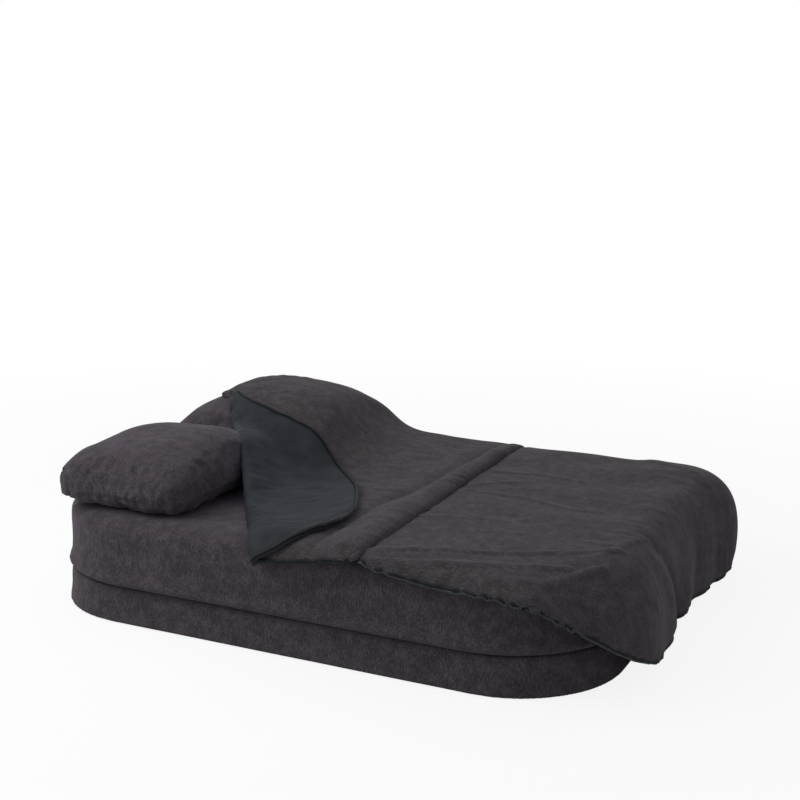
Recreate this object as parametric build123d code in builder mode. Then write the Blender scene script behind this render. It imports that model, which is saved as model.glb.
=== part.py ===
from build123d import *

import os
from math import acos, atan2, cos, degrees, hypot, radians, sin, sqrt

# A sofa bed lying open. X runs from the head to the foot, the long front side faces -Y, Z is up.
# The origin is on the floor under the middle of the bed.
os.makedirs("parts", exist_ok=True)

# Whole bed, millimetres
bed_length = 2000.0
bed_depth = 1400.0
bed_height = 360.0
corner_radius = 383.0
lower_layer_height = 130.0
lower_layer_inset = 10.0
cut_overrun = 20.0

# Clearances
rest_clearance = 0.3
soft_clearance = 0.3
pin_clearance = 0.2

# Lower layer, a plinth under the seat section
base_rear_reach = 215.0
base_rear_return = 60.0
glide_height = 4.0
glide_radius = 20.0
base_cover_thickness = 2.0
base_padding_thickness = 10.0
deck_thickness = 12.0
board_thickness = 20.0
cross_board_pitch = 480.0
underside_cloth_thickness = 0.6
base_edge_round = 5.0

# Padded sections, the seat in front and the back behind
split_gap = 4.0
section_crown = 6.0
top_round = 38.0
lower_edge_round = 14.0
cover_thickness = 2.0
wadding_thickness = 12.0

# Steel frames with sprung slats
tube_size = 30.0
tube_wall = 2.0
tube_clearance = 0.6
slat_thickness = 10.0
slat_width = 60.0
slat_end_gap = 160.0
slat_count = 13
hinge_rail_offset = 42.0

# Ratchet hinges at both ends
hinge_drop = 22.0
plate_thickness = 4.0
plate_gap = 1.0
pin_radius = 5.0
pin_head_radius = 8.0
pin_head_thickness = 3.0
eye_radius = 14.0
foot_near = 25.0
foot_far = 112.0
gusset_shoulder_out = 58.0
gusset_shoulder_drop = 28.0
gusset_throat = 60.0
gusset_edge = 2.0
sector_tip_radius = 46.0
tooth_depth = 6.0
tooth_gap_width = 7.0
tooth_count = 6
tooth_step_deg = 15.0
pawl_line_radius = 58.0
pawl_reach = 32.0
pawl_angle_deg = -100.0
pawl_bar_width = 10.0
pawl_eye_radius = 8.0
pawl_tip_width = 3.0
pawl_tip_root_width = 5.0
pawl_tip_clearance = 1.5
stud_radius = 3.0
spring_radius = 6.0
spring_length = 5.0
pocket_radius = 58.0
pocket_half_width = 130.0
pocket_depth = 28.0
pocket_margin = 10.0
bolt_radius = 4.0
bolt_head_radius = 7.0
bolt_head_thickness = 5.0
bolt_spread = 50.0
bolt_middle = 70.0

# Legs that carry the back section when it lies flat
leg_spacing = 1300.0
leg_from_split = 520.0
leg_radius = 15.0
leg_wall = 2.0
leg_flange_radius = 36.0
leg_flange_thickness = 3.0
leg_glide_radius = 17.0
leg_glide_height = 10.0

# Pillows, the long side across the bed
pillow_across = 660.0
pillow_along = 530.0
pillow_rise = 132.0
pillow_sink = 62.0
pillow_end_rise = 9.0
pillow_end_sink = 6.0
pillow_draw_in = 26.0
pillow_head_gap = 70.0
near_pillow_gap = 22.0
far_pillow_gap = 15.0
pillow_cover_thickness = 2.0
pillow_station_shares = (-1.0, -0.82, -0.5, 0.0, 0.5, 0.82, 1.0)
pillow_zip_radius = 2.5
pillow_zip_share = 0.5
pillow_tab_length = 16.0
pillow_tab_width = 8.0
pillow_tab_thickness = 1.5

# Quilt, two padded panels joined by a tape across the bed
quilt_thickness = 26.0
quilt_top_inset = 120.0
quilt_corner_reach = 190.0
quilt_wide_bend = 140.0
quilt_seam_share = 0.29
quilt_seam_gap = 6.0
quilt_seam_tape_thickness = 2.0
quilt_head_gap = 95.0
quilt_corner_radius = 350.0
quilt_near_overhang = 45.0
quilt_far_overhang = 82.0
quilt_edge_start = 60.0
quilt_side_drop = 40.0
quilt_arch = 1.2
quilt_pillow_margin = 16.0
quilt_drape_run = 110.0
quilt_crease_near_gap = 364.0
quilt_crease_far_gap = 33.0
quilt_crease_far_y = 400.0
flap_width = 462.0
flap_gap = 16.0
zip_width = 7.0

# Sizes that follow from the ones above
half_length = bed_length / 2
half_depth = bed_depth / 2
section_bottom = lower_layer_height + rest_clearance
section_inner_face = split_gap / 2
corner_x = half_length - corner_radius
corner_y = half_depth - corner_radius
hinge_z = bed_height - hinge_drop
frame_bottom = section_bottom + cover_thickness + soft_clearance
frame_middle = frame_bottom + tube_size / 2
frame_top = frame_bottom + tube_size
core_bottom = frame_top + slat_thickness + soft_clearance
frame_inset = cover_thickness + wadding_thickness + 2 * soft_clearance + tube_clearance
tube_line_inset = frame_inset + tube_size / 2
rail_inner_x = half_length - frame_inset - tube_size
seat_plate_x = rail_inner_x - plate_thickness
back_plate_x = seat_plate_x - plate_gap - plate_thickness
base_half_length = half_length - lower_layer_inset
base_front_y = -half_depth + lower_layer_inset
base_corner_radius = corner_radius - lower_layer_inset
slat_pitch = 2 * (half_length - slat_end_gap) / (slat_count - 1)
pillow_middle_x = -half_length + pillow_head_gap + pillow_along / 2
near_pillow_middle_y = -near_pillow_gap - pillow_across / 2
far_pillow_middle_y = far_pillow_gap + pillow_across / 2
quilt_rest = bed_height + section_crown + rest_clearance
quilt_seam_x = quilt_seam_share * half_length
quilt_head_x = -half_length + quilt_head_gap
quilt_crease_near_x = quilt_seam_x - quilt_crease_near_gap
quilt_crease_far_x = quilt_head_x + quilt_crease_far_gap


def save(part, name):
    """Label a finished piece and write it under its own name."""
    part.label = name
    export_step(part, f"parts/{name}.step")


def rounded_plan(length, y_front, y_rear, front_radius):
    """Plan outline for the sketch that is open, rounded at its two front corners."""
    with Locations((0, (y_front + y_rear) / 2)):
        outline = Rectangle(length, y_rear - y_front)
    fillet(outline.vertices().group_by(Axis.Y)[0], front_radius)


def base_form(inset, bottom, top):
    """Plinth outline drawn in by inset, from one height to another."""
    with BuildPart() as form:
        with BuildSketch(Plane.XY.offset(bottom)):
            rounded_plan(
                2 * (base_half_length - inset),
                base_front_y + inset,
                base_rear_reach - inset,
                base_corner_radius - inset,
            )
        extrude(amount=top - bottom)
    return form.part


def section_form(inset, bottom, lower_round=0):
    """Seat section drawn in by inset: rounded plan, crowned top, soft top edges and drawn-in lower edge."""
    top = bed_height - inset
    front = -half_depth + inset
    rear = -section_inner_face - inset
    with BuildPart() as form:
        with BuildSketch(Plane.YZ.offset(-half_length + inset)):
            with BuildLine():
                Polyline((rear, top), (rear, bottom), (front, bottom), (front, top))
                ThreePointArc((front, top), ((front + rear) / 2, top + section_crown), (rear, top))
            make_face()
        extrude(amount=bed_length - 2 * inset)
        fillet(form.edges().filter_by(Axis.Z).group_by(Axis.Y)[0], corner_radius - inset)
        crown = form.faces().sort_by(Axis.Z)[-1]
        fillet(crown.edges(), top_round - inset)
        if lower_round:
            fillet(form.faces().sort_by(Axis.Z)[0].edges(), lower_round)
    return form.part


def axis_point(y, z):
    """Point of the hinge drawings, given from the hinge axis, in the YZ plane."""
    return (y, hinge_z + z)


def polar(radius, angle_deg):
    """Offset from the hinge axis by a radius and an angle, 0 pointing to the rear."""
    return (radius * cos(radians(angle_deg)), radius * sin(radians(angle_deg)))


pawl_line = polar(1.0, pawl_angle_deg)
pawl_side = polar(1.0, pawl_angle_deg - 90)
stud_y = pawl_line_radius * pawl_line[0] + pawl_reach * pawl_side[0]
stud_z = pawl_line_radius * pawl_line[1] + pawl_reach * pawl_side[1]
foot_bottom = frame_bottom - hinge_z
foot_top = frame_top - hinge_z

# Base: boards
board_bottom = glide_height + base_cover_thickness
deck_bottom = lower_layer_height - base_cover_thickness - deck_thickness
board_inset = base_cover_thickness + base_padding_thickness + 2 * soft_clearance


def base_ring(box_center, box_size):
    """The part of the board ring that lies inside a box."""
    with BuildPart() as ring:
        add(base_form(board_inset, board_bottom, deck_bottom))
        add(base_form(board_inset + board_thickness, board_bottom, deck_bottom), mode=Mode.SUBTRACT)
        with Locations(box_center):
            Box(*box_size, mode=Mode.INTERSECT)
    return ring.part


board_middle_z = (board_bottom + deck_bottom) / 2
with BuildPart() as base_front_board:
    add(base_ring((0, base_front_y, board_middle_z), (2 * corner_x, corner_radius, bed_height)))
save(base_front_board.part, "base_front_board")

with BuildPart() as base_rear_board:
    add(
        base_ring(
            (0, base_rear_reach, board_middle_z),
            (bed_length, 2 * base_rear_return, bed_height),
        )
    )
save(base_rear_board.part, "base_rear_board")

end_board_depth = base_rear_reach - base_rear_return - base_front_y
for end_name, side in (("head", -1), ("foot", 1)):
    with BuildPart() as base_end_board:
        add(
            base_ring(
                (
                    side * (corner_x + base_half_length) / 2,
                    base_front_y + end_board_depth / 2,
                    board_middle_z,
                ),
                (base_half_length - corner_x, end_board_depth, bed_height),
            )
        )
    save(base_end_board.part, f"base_{end_name}_board")

cross_board_front = base_front_y + board_inset + board_thickness
cross_board_rear = base_rear_reach - board_inset - board_thickness
with BuildPart() as base_cross_boards:
    with BuildSketch(Plane.XY.offset(board_bottom)):
        with Locations((0, (cross_board_front + cross_board_rear) / 2)):
            with GridLocations(cross_board_pitch, 0, 3, 1):
                Rectangle(board_thickness, cross_board_rear - cross_board_front)
    extrude(amount=deck_bottom - board_bottom)
save(base_cross_boards.part, "base_cross_boards")

with BuildPart() as base_deck:
    add(base_form(board_inset, deck_bottom, deck_bottom + deck_thickness))
save(base_deck.part, "base_deck")

# Base: foam band, cover, underside cloth and glides
padding_inset = base_cover_thickness + soft_clearance
with BuildPart() as base_padding:
    add(base_form(padding_inset, board_bottom, deck_bottom + deck_thickness))
    add(
        base_form(padding_inset + base_padding_thickness, glide_height, lower_layer_height),
        mode=Mode.SUBTRACT,
    )
save(base_padding.part, "base_padding")

with BuildPart() as base_cover:
    add(base_form(0, glide_height, lower_layer_height))
    fillet(base_cover.faces().sort_by(Axis.Z)[-1].edges(), base_edge_round)
    add(
        base_form(base_cover_thickness, glide_height, lower_layer_height - base_cover_thickness),
        mode=Mode.SUBTRACT,
    )
save(base_cover.part, "base_cover")

with BuildPart() as base_underside_cloth:
    add(
        base_form(
            board_inset,
            board_bottom - underside_cloth_thickness - soft_clearance,
            board_bottom - soft_clearance,
        )
    )
save(base_underside_cloth.part, "base_underside_cloth")

glide_x = base_half_length - base_corner_radius
glide_front_y = base_front_y + board_inset + glide_radius
glide_rear_y = base_rear_reach - board_inset - glide_radius
glide_places = [(x, y) for x in (-glide_x, glide_x) for y in (glide_front_y, glide_rear_y)]
glide_places += [(0, glide_front_y), (0, 0)]
with BuildPart() as base_glides:
    with BuildSketch(Plane.XY):
        with Locations(*glide_places):
            Circle(glide_radius)
    extrude(amount=board_bottom - underside_cloth_thickness - 2 * soft_clearance)
save(base_glides.part, "base_glides")

# Hinge pocket, a slot that the ratchet needs in both sections
pocket_out_x = rail_inner_x + pocket_margin


def pocket_form(side):
    """Space for one ratchet: a lower disc for the sector, an eye and a channel for the plates."""
    with BuildPart() as pocket:
        with BuildSketch(Plane.YZ.offset(side * pocket_out_x)):
            with Locations(axis_point(0, 0)):
                Circle(pocket_radius)
            with Locations(axis_point(0, pocket_radius / 2 + gusset_edge)):
                Rectangle(2 * pocket_radius, pocket_radius, mode=Mode.SUBTRACT)
            with Locations(axis_point(0, 0)):
                Circle(eye_radius + gusset_edge)
            channel_top = -gusset_shoulder_drop + pin_head_radius
            with Locations(axis_point(0, (foot_bottom + channel_top) / 2)):
                Rectangle(2 * pocket_half_width, channel_top - foot_bottom)
        extrude(amount=-side * (pocket_depth + pocket_margin))
    return pocket.part


pockets = {side: pocket_form(side) for side in (-1, 1)}

# Seat section: velour cover, wadding and foam core
with BuildPart() as seat_cover:
    add(section_form(0, section_bottom, lower_edge_round))
    add(
        section_form(
            cover_thickness, section_bottom + cover_thickness, lower_edge_round - cover_thickness
        ),
        mode=Mode.SUBTRACT,
    )
    for side in (-1, 1):
        add(pockets[side], mode=Mode.SUBTRACT)

wadding_inset = cover_thickness + soft_clearance
with BuildPart() as seat_wadding:
    add(section_form(wadding_inset, frame_bottom, lower_edge_round - wadding_inset))
    add(section_form(wadding_inset + wadding_thickness, section_bottom), mode=Mode.SUBTRACT)
    for side in (-1, 1):
        add(pockets[side], mode=Mode.SUBTRACT)

core_inset = wadding_inset + wadding_thickness + soft_clearance
with BuildPart() as seat_core:
    add(section_form(core_inset, core_bottom))
    for side in (-1, 1):
        add(pockets[side], mode=Mode.SUBTRACT)

# Seat section: tube frame and slats
tube_corner_radius = corner_radius - tube_line_inset
end_tube_x = half_length - tube_line_inset
front_tube_y = -half_depth + tube_line_inset
hinge_rail_y = -hinge_rail_offset
end_tube_start_y = -section_inner_face - core_inset


def tube_section():
    """Square tube profile for the sketch that is open."""
    Rectangle(tube_size, tube_size)
    Rectangle(tube_size - 2 * tube_wall, tube_size - 2 * tube_wall, mode=Mode.SUBTRACT)


with BuildPart() as seat_front_rail:
    with BuildSketch(Plane((-corner_x, front_tube_y, frame_middle), x_dir=(0, 1, 0), z_dir=(1, 0, 0))):
        tube_section()
    extrude(amount=2 * corner_x)

with BuildPart() as seat_hinge_rail:
    with BuildSketch(Plane((-seat_plate_x, hinge_rail_y, frame_middle), x_dir=(0, 1, 0), z_dir=(1, 0, 0))):
        tube_section()
    extrude(amount=2 * seat_plate_x)

seat_end_rails = {}
for side in (-1, 1):
    with BuildPart() as end_rail:
        with BuildLine() as run:
            Line(
                (side * end_tube_x, end_tube_start_y, frame_middle),
                (side * end_tube_x, -corner_y, frame_middle),
            )
            RadiusArc(
                (side * end_tube_x, -corner_y, frame_middle),
                (side * corner_x, front_tube_y, frame_middle),
                side * tube_corner_radius,
            )
        end_start = (side * end_tube_x, end_tube_start_y, frame_middle)
        with BuildSketch(Plane(end_start, x_dir=(1, 0, 0), z_dir=(0, -1, 0))):
            tube_section()
        sweep(path=run.wires()[0])
        for y in (-bolt_middle - bolt_spread / 2, -bolt_middle + bolt_spread / 2):
            with BuildSketch(Plane.YZ.offset(side * (rail_inner_x - cut_overrun))):
                with Locations((y, frame_middle)):
                    Circle(bolt_radius + pin_clearance)
            extrude(amount=side * (tube_size + 2 * cut_overrun), mode=Mode.SUBTRACT)
    seat_end_rails[side] = end_rail.part

slat_reach = (slat_count - 1) / 2
with BuildPart() as seat_slats:
    with BuildSketch(Plane.XY.offset(frame_top)):
        for index in range(slat_count):
            x = (index - slat_reach) * slat_pitch
            past_corner = max(abs(x) + slat_width / 2 - corner_x, 0)
            slat_front = -corner_y - sqrt(tube_corner_radius**2 - past_corner**2)
            with Locations((x, (slat_front + hinge_rail_y) / 2)):
                Rectangle(slat_width, hinge_rail_y - slat_front)
    extrude(amount=slat_thickness)

seat_pieces = {
    "cover": seat_cover.part,
    "wadding": seat_wadding.part,
    "core": seat_core.part,
    "front_rail": seat_front_rail.part,
    "head_rail": seat_end_rails[-1],
    "foot_rail": seat_end_rails[1],
    "slats": seat_slats.part,
}
for piece_name, piece in seat_pieces.items():
    save(piece, f"seat_{piece_name}")
save(seat_hinge_rail.part, "seat_hinge_rail")

# Back section: the seat's pieces mirrored across the split, where the front rail becomes the top rail
for piece_name, piece in seat_pieces.items():
    with BuildPart() as back_piece:
        mirror(piece, about=Plane.XZ)
    save(back_piece.part, f"back_{piece_name}".replace("front_rail", "top_rail"))

with BuildPart() as back_hinge_rail:
    with BuildSketch(Plane((-back_plate_x, -hinge_rail_y, frame_middle), x_dir=(0, 1, 0), z_dir=(1, 0, 0))):
        tube_section()
    extrude(amount=2 * back_plate_x)
save(back_hinge_rail.part, "back_hinge_rail")

# Ratchet hinges
bolt_ys = (bolt_middle - bolt_spread / 2, bolt_middle + bolt_spread / 2)
tooth_gap_lag = degrees(atan2(tooth_gap_width / 3, sector_tip_radius - tooth_depth / 2))
first_gap_deg = pawl_angle_deg - tooth_gap_lag
seat_bolt_parts = []
back_bolt_parts = []

for end_name, side in (("head", -1), ("foot", 1)):
    with BuildPart() as seat_plate:
        with BuildSketch(Plane.YZ.offset(side * seat_plate_x)):
            with BuildLine():
                Polyline(
                    axis_point(-foot_far, foot_bottom),
                    axis_point(-foot_near, foot_bottom),
                    axis_point(eye_radius, 0),
                    axis_point(-eye_radius, gusset_edge),
                    axis_point(-gusset_shoulder_out, -gusset_shoulder_drop),
                    axis_point(-foot_far, foot_top),
                    close=True,
                )
            make_face()
            with Locations(axis_point(0, 0)):
                Circle(eye_radius)
                Circle(pin_radius + pin_clearance, mode=Mode.SUBTRACT)
            for y in bolt_ys:
                with Locations((-y, frame_middle)):
                    Circle(bolt_radius + pin_clearance, mode=Mode.SUBTRACT)
        extrude(amount=side * plate_thickness)
        with BuildSketch(Plane.YZ.offset(side * seat_plate_x)):
            with Locations(axis_point(stud_y, stud_z)):
                Circle(stud_radius)
        extrude(amount=-side * (plate_gap + plate_thickness + spring_length + 2 * plate_gap))
    save(seat_plate.part, f"{end_name}_seat_plate")

    with BuildPart() as back_plate:
        with BuildSketch(Plane.YZ.offset(side * back_plate_x)):
            with Locations(axis_point(0, 0)):
                Circle(sector_tip_radius)
            wedge_reach = 2 * sector_tip_radius
            first_edge = polar(wedge_reach, first_gap_deg + tooth_step_deg / 2)
            last_edge = polar(wedge_reach, first_gap_deg - (tooth_count - 1) * tooth_step_deg - tooth_gap_lag)
            middle_edge = polar(wedge_reach, first_gap_deg - tooth_count * tooth_step_deg / 2)
            with BuildLine():
                Polyline(
                    axis_point(0, 0),
                    axis_point(*first_edge),
                    axis_point(*middle_edge),
                    axis_point(*last_edge),
                    close=True,
                )
            make_face(mode=Mode.INTERSECT)
            for index in range(tooth_count):
                gap_angle = first_gap_deg - index * tooth_step_deg
                with Locations(Location((*axis_point(*polar(sector_tip_radius, gap_angle)), 0), (0, 0, gap_angle))):
                    Rectangle(2 * tooth_depth, tooth_gap_width, mode=Mode.SUBTRACT)
            with BuildLine():
                Polyline(
                    axis_point(foot_far, foot_bottom),
                    axis_point(foot_near, foot_bottom),
                    axis_point(gusset_edge, -gusset_throat),
                    axis_point(gusset_edge, 0),
                    axis_point(eye_radius, gusset_edge),
                    axis_point(gusset_shoulder_out, -gusset_shoulder_drop),
                    axis_point(foot_far, foot_top),
                    close=True,
                )
            make_face()
            with Locations(axis_point(0, 0)):
                Circle(eye_radius)
                Circle(pin_radius + pin_clearance, mode=Mode.SUBTRACT)
            for y in bolt_ys:
                with Locations((y, frame_middle)):
                    Circle(bolt_radius + pin_clearance, mode=Mode.SUBTRACT)
        extrude(amount=side * plate_thickness)
        with BuildSketch(Plane.YZ.offset(side * (back_plate_x + plate_thickness))):
            with Locations(((foot_near + foot_far) / 2, frame_middle)):
                Rectangle(foot_far - foot_near, tube_size)
            for y in bolt_ys:
                with Locations((y, frame_middle)):
                    Circle(bolt_radius + pin_clearance, mode=Mode.SUBTRACT)
        extrude(amount=side * (plate_gap + plate_thickness))
    save(back_plate.part, f"{end_name}_back_plate")

    with BuildPart() as hinge_pin:
        with BuildSketch(Plane.YZ.offset(side * (back_plate_x - pin_clearance))):
            with Locations(axis_point(0, 0)):
                Circle(pin_radius)
        extrude(amount=side * (rail_inner_x - back_plate_x + 2 * pin_clearance))
        for face_x, direction in ((back_plate_x - pin_clearance, -1), (rail_inner_x + pin_clearance, 1)):
            with BuildSketch(Plane.YZ.offset(side * face_x)):
                with Locations(axis_point(0, 0)):
                    Circle(pin_head_radius)
            extrude(amount=side * direction * pin_head_thickness)
    save(hinge_pin.part, f"{end_name}_hinge_pin")

    tip_start = pawl_line_radius - pawl_bar_width / 2 + pawl_tip_clearance
    tip_end = sector_tip_radius + pawl_tip_clearance

    def pawl_point(radius, aside):
        """Point of the pawl, given along its line to the hinge axis and aside towards its stud."""
        return axis_point(
            radius * pawl_line[0] + aside * pawl_side[0], radius * pawl_line[1] + aside * pawl_side[1]
        )

    with BuildPart() as pawl:
        with BuildSketch(Plane.YZ.offset(side * back_plate_x)):
            with BuildLine():
                Polyline(
                    pawl_point(pawl_line_radius + pawl_bar_width / 2, -pawl_tip_root_width / 2),
                    pawl_point(pawl_line_radius + pawl_bar_width / 2, pawl_reach),
                    pawl_point(pawl_line_radius - pawl_bar_width / 2, pawl_reach),
                    pawl_point(tip_start, pawl_tip_root_width / 2),
                    pawl_point(tip_end, pawl_tip_width / 2),
                    pawl_point(tip_end, -pawl_tip_width / 2),
                    pawl_point(tip_start, -pawl_tip_root_width / 2),
                    close=True,
                )
            make_face()
            with Locations(axis_point(stud_y, stud_z)):
                Circle(pawl_eye_radius)
                Circle(stud_radius + pin_clearance, mode=Mode.SUBTRACT)
        extrude(amount=side * plate_thickness)
    save(pawl.part, f"{end_name}_pawl")

    with BuildPart() as pawl_spring:
        with BuildSketch(Plane.YZ.offset(side * (back_plate_x - soft_clearance))):
            with Locations(axis_point(stud_y, stud_z)):
                Circle(spring_radius)
                Circle(stud_radius + pin_clearance, mode=Mode.SUBTRACT)
        extrude(amount=-side * spring_length)
    save(pawl_spring.part, f"{end_name}_pawl_spring")

    for parts, direction, head_x in (
        (seat_bolt_parts, -1, seat_plate_x),
        (back_bolt_parts, 1, back_plate_x),
    ):
        with BuildPart() as bolts:
            for y in bolt_ys:
                with BuildSketch(Plane.YZ.offset(side * head_x)):
                    with Locations((direction * y, frame_middle)):
                        Circle(bolt_head_radius)
                extrude(amount=-side * bolt_head_thickness)
                with BuildSketch(Plane.YZ.offset(side * head_x)):
                    with Locations((direction * y, frame_middle)):
                        Circle(bolt_radius)
                extrude(amount=side * (rail_inner_x + tube_size - head_x))
        parts.append(bolts.part)

for name, parts in (("seat_hinge_bolts", seat_bolt_parts), ("back_hinge_bolts", back_bolt_parts)):
    with BuildPart() as hinge_bolts:
        for bolt_part in parts:
            add(bolt_part)
    save(hinge_bolts.part, name)

# Back legs
for end_name, side in (("head", -1), ("foot", 1)):
    with BuildPart() as back_leg:
        with BuildSketch(Plane.XY.offset(leg_glide_height)):
            with Locations((side * leg_spacing / 2, leg_from_split)):
                Circle(leg_radius)
        extrude(amount=section_bottom - leg_glide_height)
        with BuildSketch(Plane.XY.offset(section_bottom)):
            with Locations((side * leg_spacing / 2, leg_from_split)):
                Circle(leg_flange_radius)
        extrude(amount=-leg_flange_thickness)
        with BuildSketch(Plane.XY.offset(leg_glide_height)):
            with Locations((side * leg_spacing / 2, leg_from_split)):
                Circle(leg_radius - leg_wall)
        extrude(amount=section_bottom - leg_flange_thickness - leg_glide_height, mode=Mode.SUBTRACT)
    save(back_leg.part, f"back_{end_name}_leg")

with BuildPart() as back_leg_glides:
    with BuildSketch(Plane.XY):
        with Locations((-leg_spacing / 2, leg_from_split), (leg_spacing / 2, leg_from_split)):
            Circle(leg_glide_radius)
    extrude(amount=leg_glide_height)
save(back_leg_glides.part, "back_leg_glides")

# Pillows
pillow_rest_z = bed_height + section_crown + rest_clearance
pillow_seam_z = pillow_rest_z + pillow_sink


def pillow_swell(share, at_end, at_middle):
    """A pillow's height above or below its seam, from thin ends to a full middle."""
    return at_end + (at_middle - at_end) * (1 - abs(share) ** 3)


def pillow_form(middle_y, skin):
    """Pillow with its crown, its sides drawn in between the corners, and thin seamed ends."""
    with BuildPart() as form:
        for share in pillow_station_shares:
            y = middle_y + share * (pillow_across / 2 - 2 * skin)
            rise = pillow_swell(share, pillow_end_rise, pillow_rise) - skin
            sink = pillow_swell(share, pillow_end_sink, pillow_sink) - skin
            full_half = pillow_along / 2 - pillow_draw_in * (1 - share**2)
            half = full_half - 2 * skin * full_half / (rise + sink + 2 * skin)
            left = (pillow_middle_x - half, pillow_seam_z)
            right = (pillow_middle_x + half, pillow_seam_z)
            with BuildSketch(Plane.XZ.offset(-y)):
                with BuildLine():
                    ThreePointArc(left, (pillow_middle_x, pillow_seam_z + rise), right)
                    ThreePointArc(left, (pillow_middle_x, pillow_seam_z - sink), right)
                make_face()
        loft()
    return form.part


for pillow_name, middle_y in (("near", near_pillow_middle_y), ("far", far_pillow_middle_y)):
    with BuildPart() as pillow_cover:
        add(pillow_form(middle_y, 0))
        add(pillow_form(middle_y, pillow_cover_thickness), mode=Mode.SUBTRACT)
    save(pillow_cover.part, f"{pillow_name}_pillow_cover")
    with BuildPart() as pillow_filling:
        add(pillow_form(middle_y, pillow_cover_thickness + soft_clearance))
    save(pillow_filling.part, f"{pillow_name}_pillow_filling")

# Pillow zips, along the head side of each cover, the near one with a small tab
for pillow_name, middle_y in (("near", near_pillow_middle_y), ("far", far_pillow_middle_y)):
    zip_half = pillow_zip_share * pillow_across / 2
    seam_half = pillow_along / 2 - pillow_draw_in * (1 - pillow_zip_share**2)
    zip_x = pillow_middle_x - seam_half - soft_clearance - pillow_zip_radius
    with BuildPart() as pillow_zip:
        with BuildSketch(Plane.XZ.offset(-(middle_y - zip_half))):
            with Locations((zip_x, pillow_seam_z)):
                Circle(pillow_zip_radius)
        extrude(amount=-2 * zip_half)
        if pillow_name == "near":
            with BuildSketch(Plane.XY.offset(pillow_seam_z)):
                with Locations((zip_x - pillow_tab_length / 2, middle_y + zip_half)):
                    Rectangle(pillow_tab_length, pillow_tab_width)
            extrude(amount=pillow_tab_thickness)
    save(pillow_zip.part, f"{pillow_name}_pillow_zip")

# Quilt, lower panel: a flat top inside a border that folds over the mattress edge and hangs at the foot.
# Stations run along the edge from the near seam, round the foot, to the far seam. At each one the border
# bends over an arc and falls in a straight line to the hem.
seam_lower_x = quilt_seam_x + quilt_seam_gap / 2
seam_upper_x = quilt_seam_x - quilt_seam_gap / 2
side_shares = (0.0, 0.5, 1.0)
corner_degs = (15, 30, 45, 60, 75)
foot_shares = (-1.0, -0.75, -0.5, -0.25, 0.0, 0.25, 0.5, 0.75, 1.0)

stations = []
for share in side_shares:
    stations.append((seam_lower_x + share * (corner_x - seam_lower_x), -half_depth, -90))
for turn in corner_degs:
    angle = turn - 90
    stations.append(
        (corner_x + corner_radius * cos(radians(angle)), -corner_y + corner_radius * sin(radians(angle)), angle)
    )
for share in foot_shares:
    stations.append((half_length, share * corner_y, 0))
for angle in corner_degs:
    stations.append(
        (corner_x + corner_radius * cos(radians(angle)), corner_y + corner_radius * sin(radians(angle)), angle)
    )
for share in reversed(side_shares):
    stations.append((seam_lower_x + share * (corner_x - seam_lower_x), half_depth, 90))

# Shares of the widest reach, the widest bend and the height of the quilt over the floor
hem_out_shares = (
    0.18, 0.19, 0.21, 0.39, 0.55, 0.60, 0.60, 0.60,
    0.50, 0.40, 0.54, 0.38, 0.48, 0.37, 0.51, 0.42, 0.58,
    0.79, 0.97, 1.00, 0.95, 0.74, 0.53, 0.43, 0.39,
)
bend_shares = (
    0.32, 0.32, 0.32, 0.36, 0.44, 0.52, 0.54, 0.50,
    0.42, 0.36, 0.46, 0.34, 0.42, 0.34, 0.44, 0.38, 0.52,
    0.74, 0.92, 1.00, 0.92, 0.74, 0.52, 0.40, 0.32,
)
hem_height_shares = (
    0.94, 0.90, 0.90, 0.90, 0.85, 0.64, 0.42, 0.23,
    0.11, 0.06, 0.05, 0.05, 0.05, 0.05, 0.06, 0.06, 0.06,
    0.06, 0.07, 0.08, 0.24, 0.55, 0.82, 0.88, 0.92,
)


def border_profile(index):
    """Inner and outer points of the border at a station, as (distance beyond the edge, height)."""
    bend = bend_shares[index] * quilt_wide_bend
    hem_out = hem_out_shares[index] * quilt_corner_reach
    hem_z = hem_height_shares[index] * quilt_rest
    bend_out = min(hem_out - bend, hem_out / 2)
    bend_z = quilt_rest - bend
    reach = hypot(hem_out - bend_out, hem_z - bend_z)
    turn = atan2(hem_z - bend_z, hem_out - bend_out) + acos(min(bend / reach, 1))
    points = []
    for skin in (0, quilt_thickness):
        radius = bend + skin
        half_turn = (radians(90) + turn) / 2
        points.append(
            (
                (-quilt_top_inset, quilt_rest + skin),
                (bend_out, quilt_rest + skin),
                (bend_out + radius * cos(half_turn), bend_z + radius * sin(half_turn)),
                (bend_out + radius * cos(turn), bend_z + radius * sin(turn)),
                (hem_out + skin * cos(turn), hem_z + skin * sin(turn)),
            )
        )
    return points


def station_plane(station):
    """Upright plane across the edge at a station: local x points outwards, local y up."""
    x, y, angle = station
    outward = (cos(radians(angle)), sin(radians(angle)), 0)
    return Plane((x, y, 0), x_dir=outward, z_dir=(outward[1], -outward[0], 0))


with BuildPart() as quilt_lower_panel:
    for index, station in enumerate(stations):
        inner, outer = border_profile(index)
        with BuildSketch(station_plane(station)):
            with BuildLine():
                Line(inner[0], inner[1])
                ThreePointArc(inner[1], inner[2], inner[3])
                Line(inner[3], inner[4])
                Line(inner[4], outer[4])
                Line(outer[4], outer[3])
                ThreePointArc(outer[3], outer[2], outer[1])
                Line(outer[1], outer[0])
                Line(outer[0], inner[0])
            make_face()
    loft(ruled=True)
    with BuildSketch(Plane.XY.offset(quilt_rest)):
        with BuildLine():
            top_outline = [
                (x - quilt_top_inset * cos(radians(angle)), y - quilt_top_inset * sin(radians(angle)))
                for x, y, angle in stations
            ]
            Polyline(*top_outline, close=True)
        make_face()
    extrude(amount=quilt_thickness)
save(quilt_lower_panel.part, "quilt_lower_panel")


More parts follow.
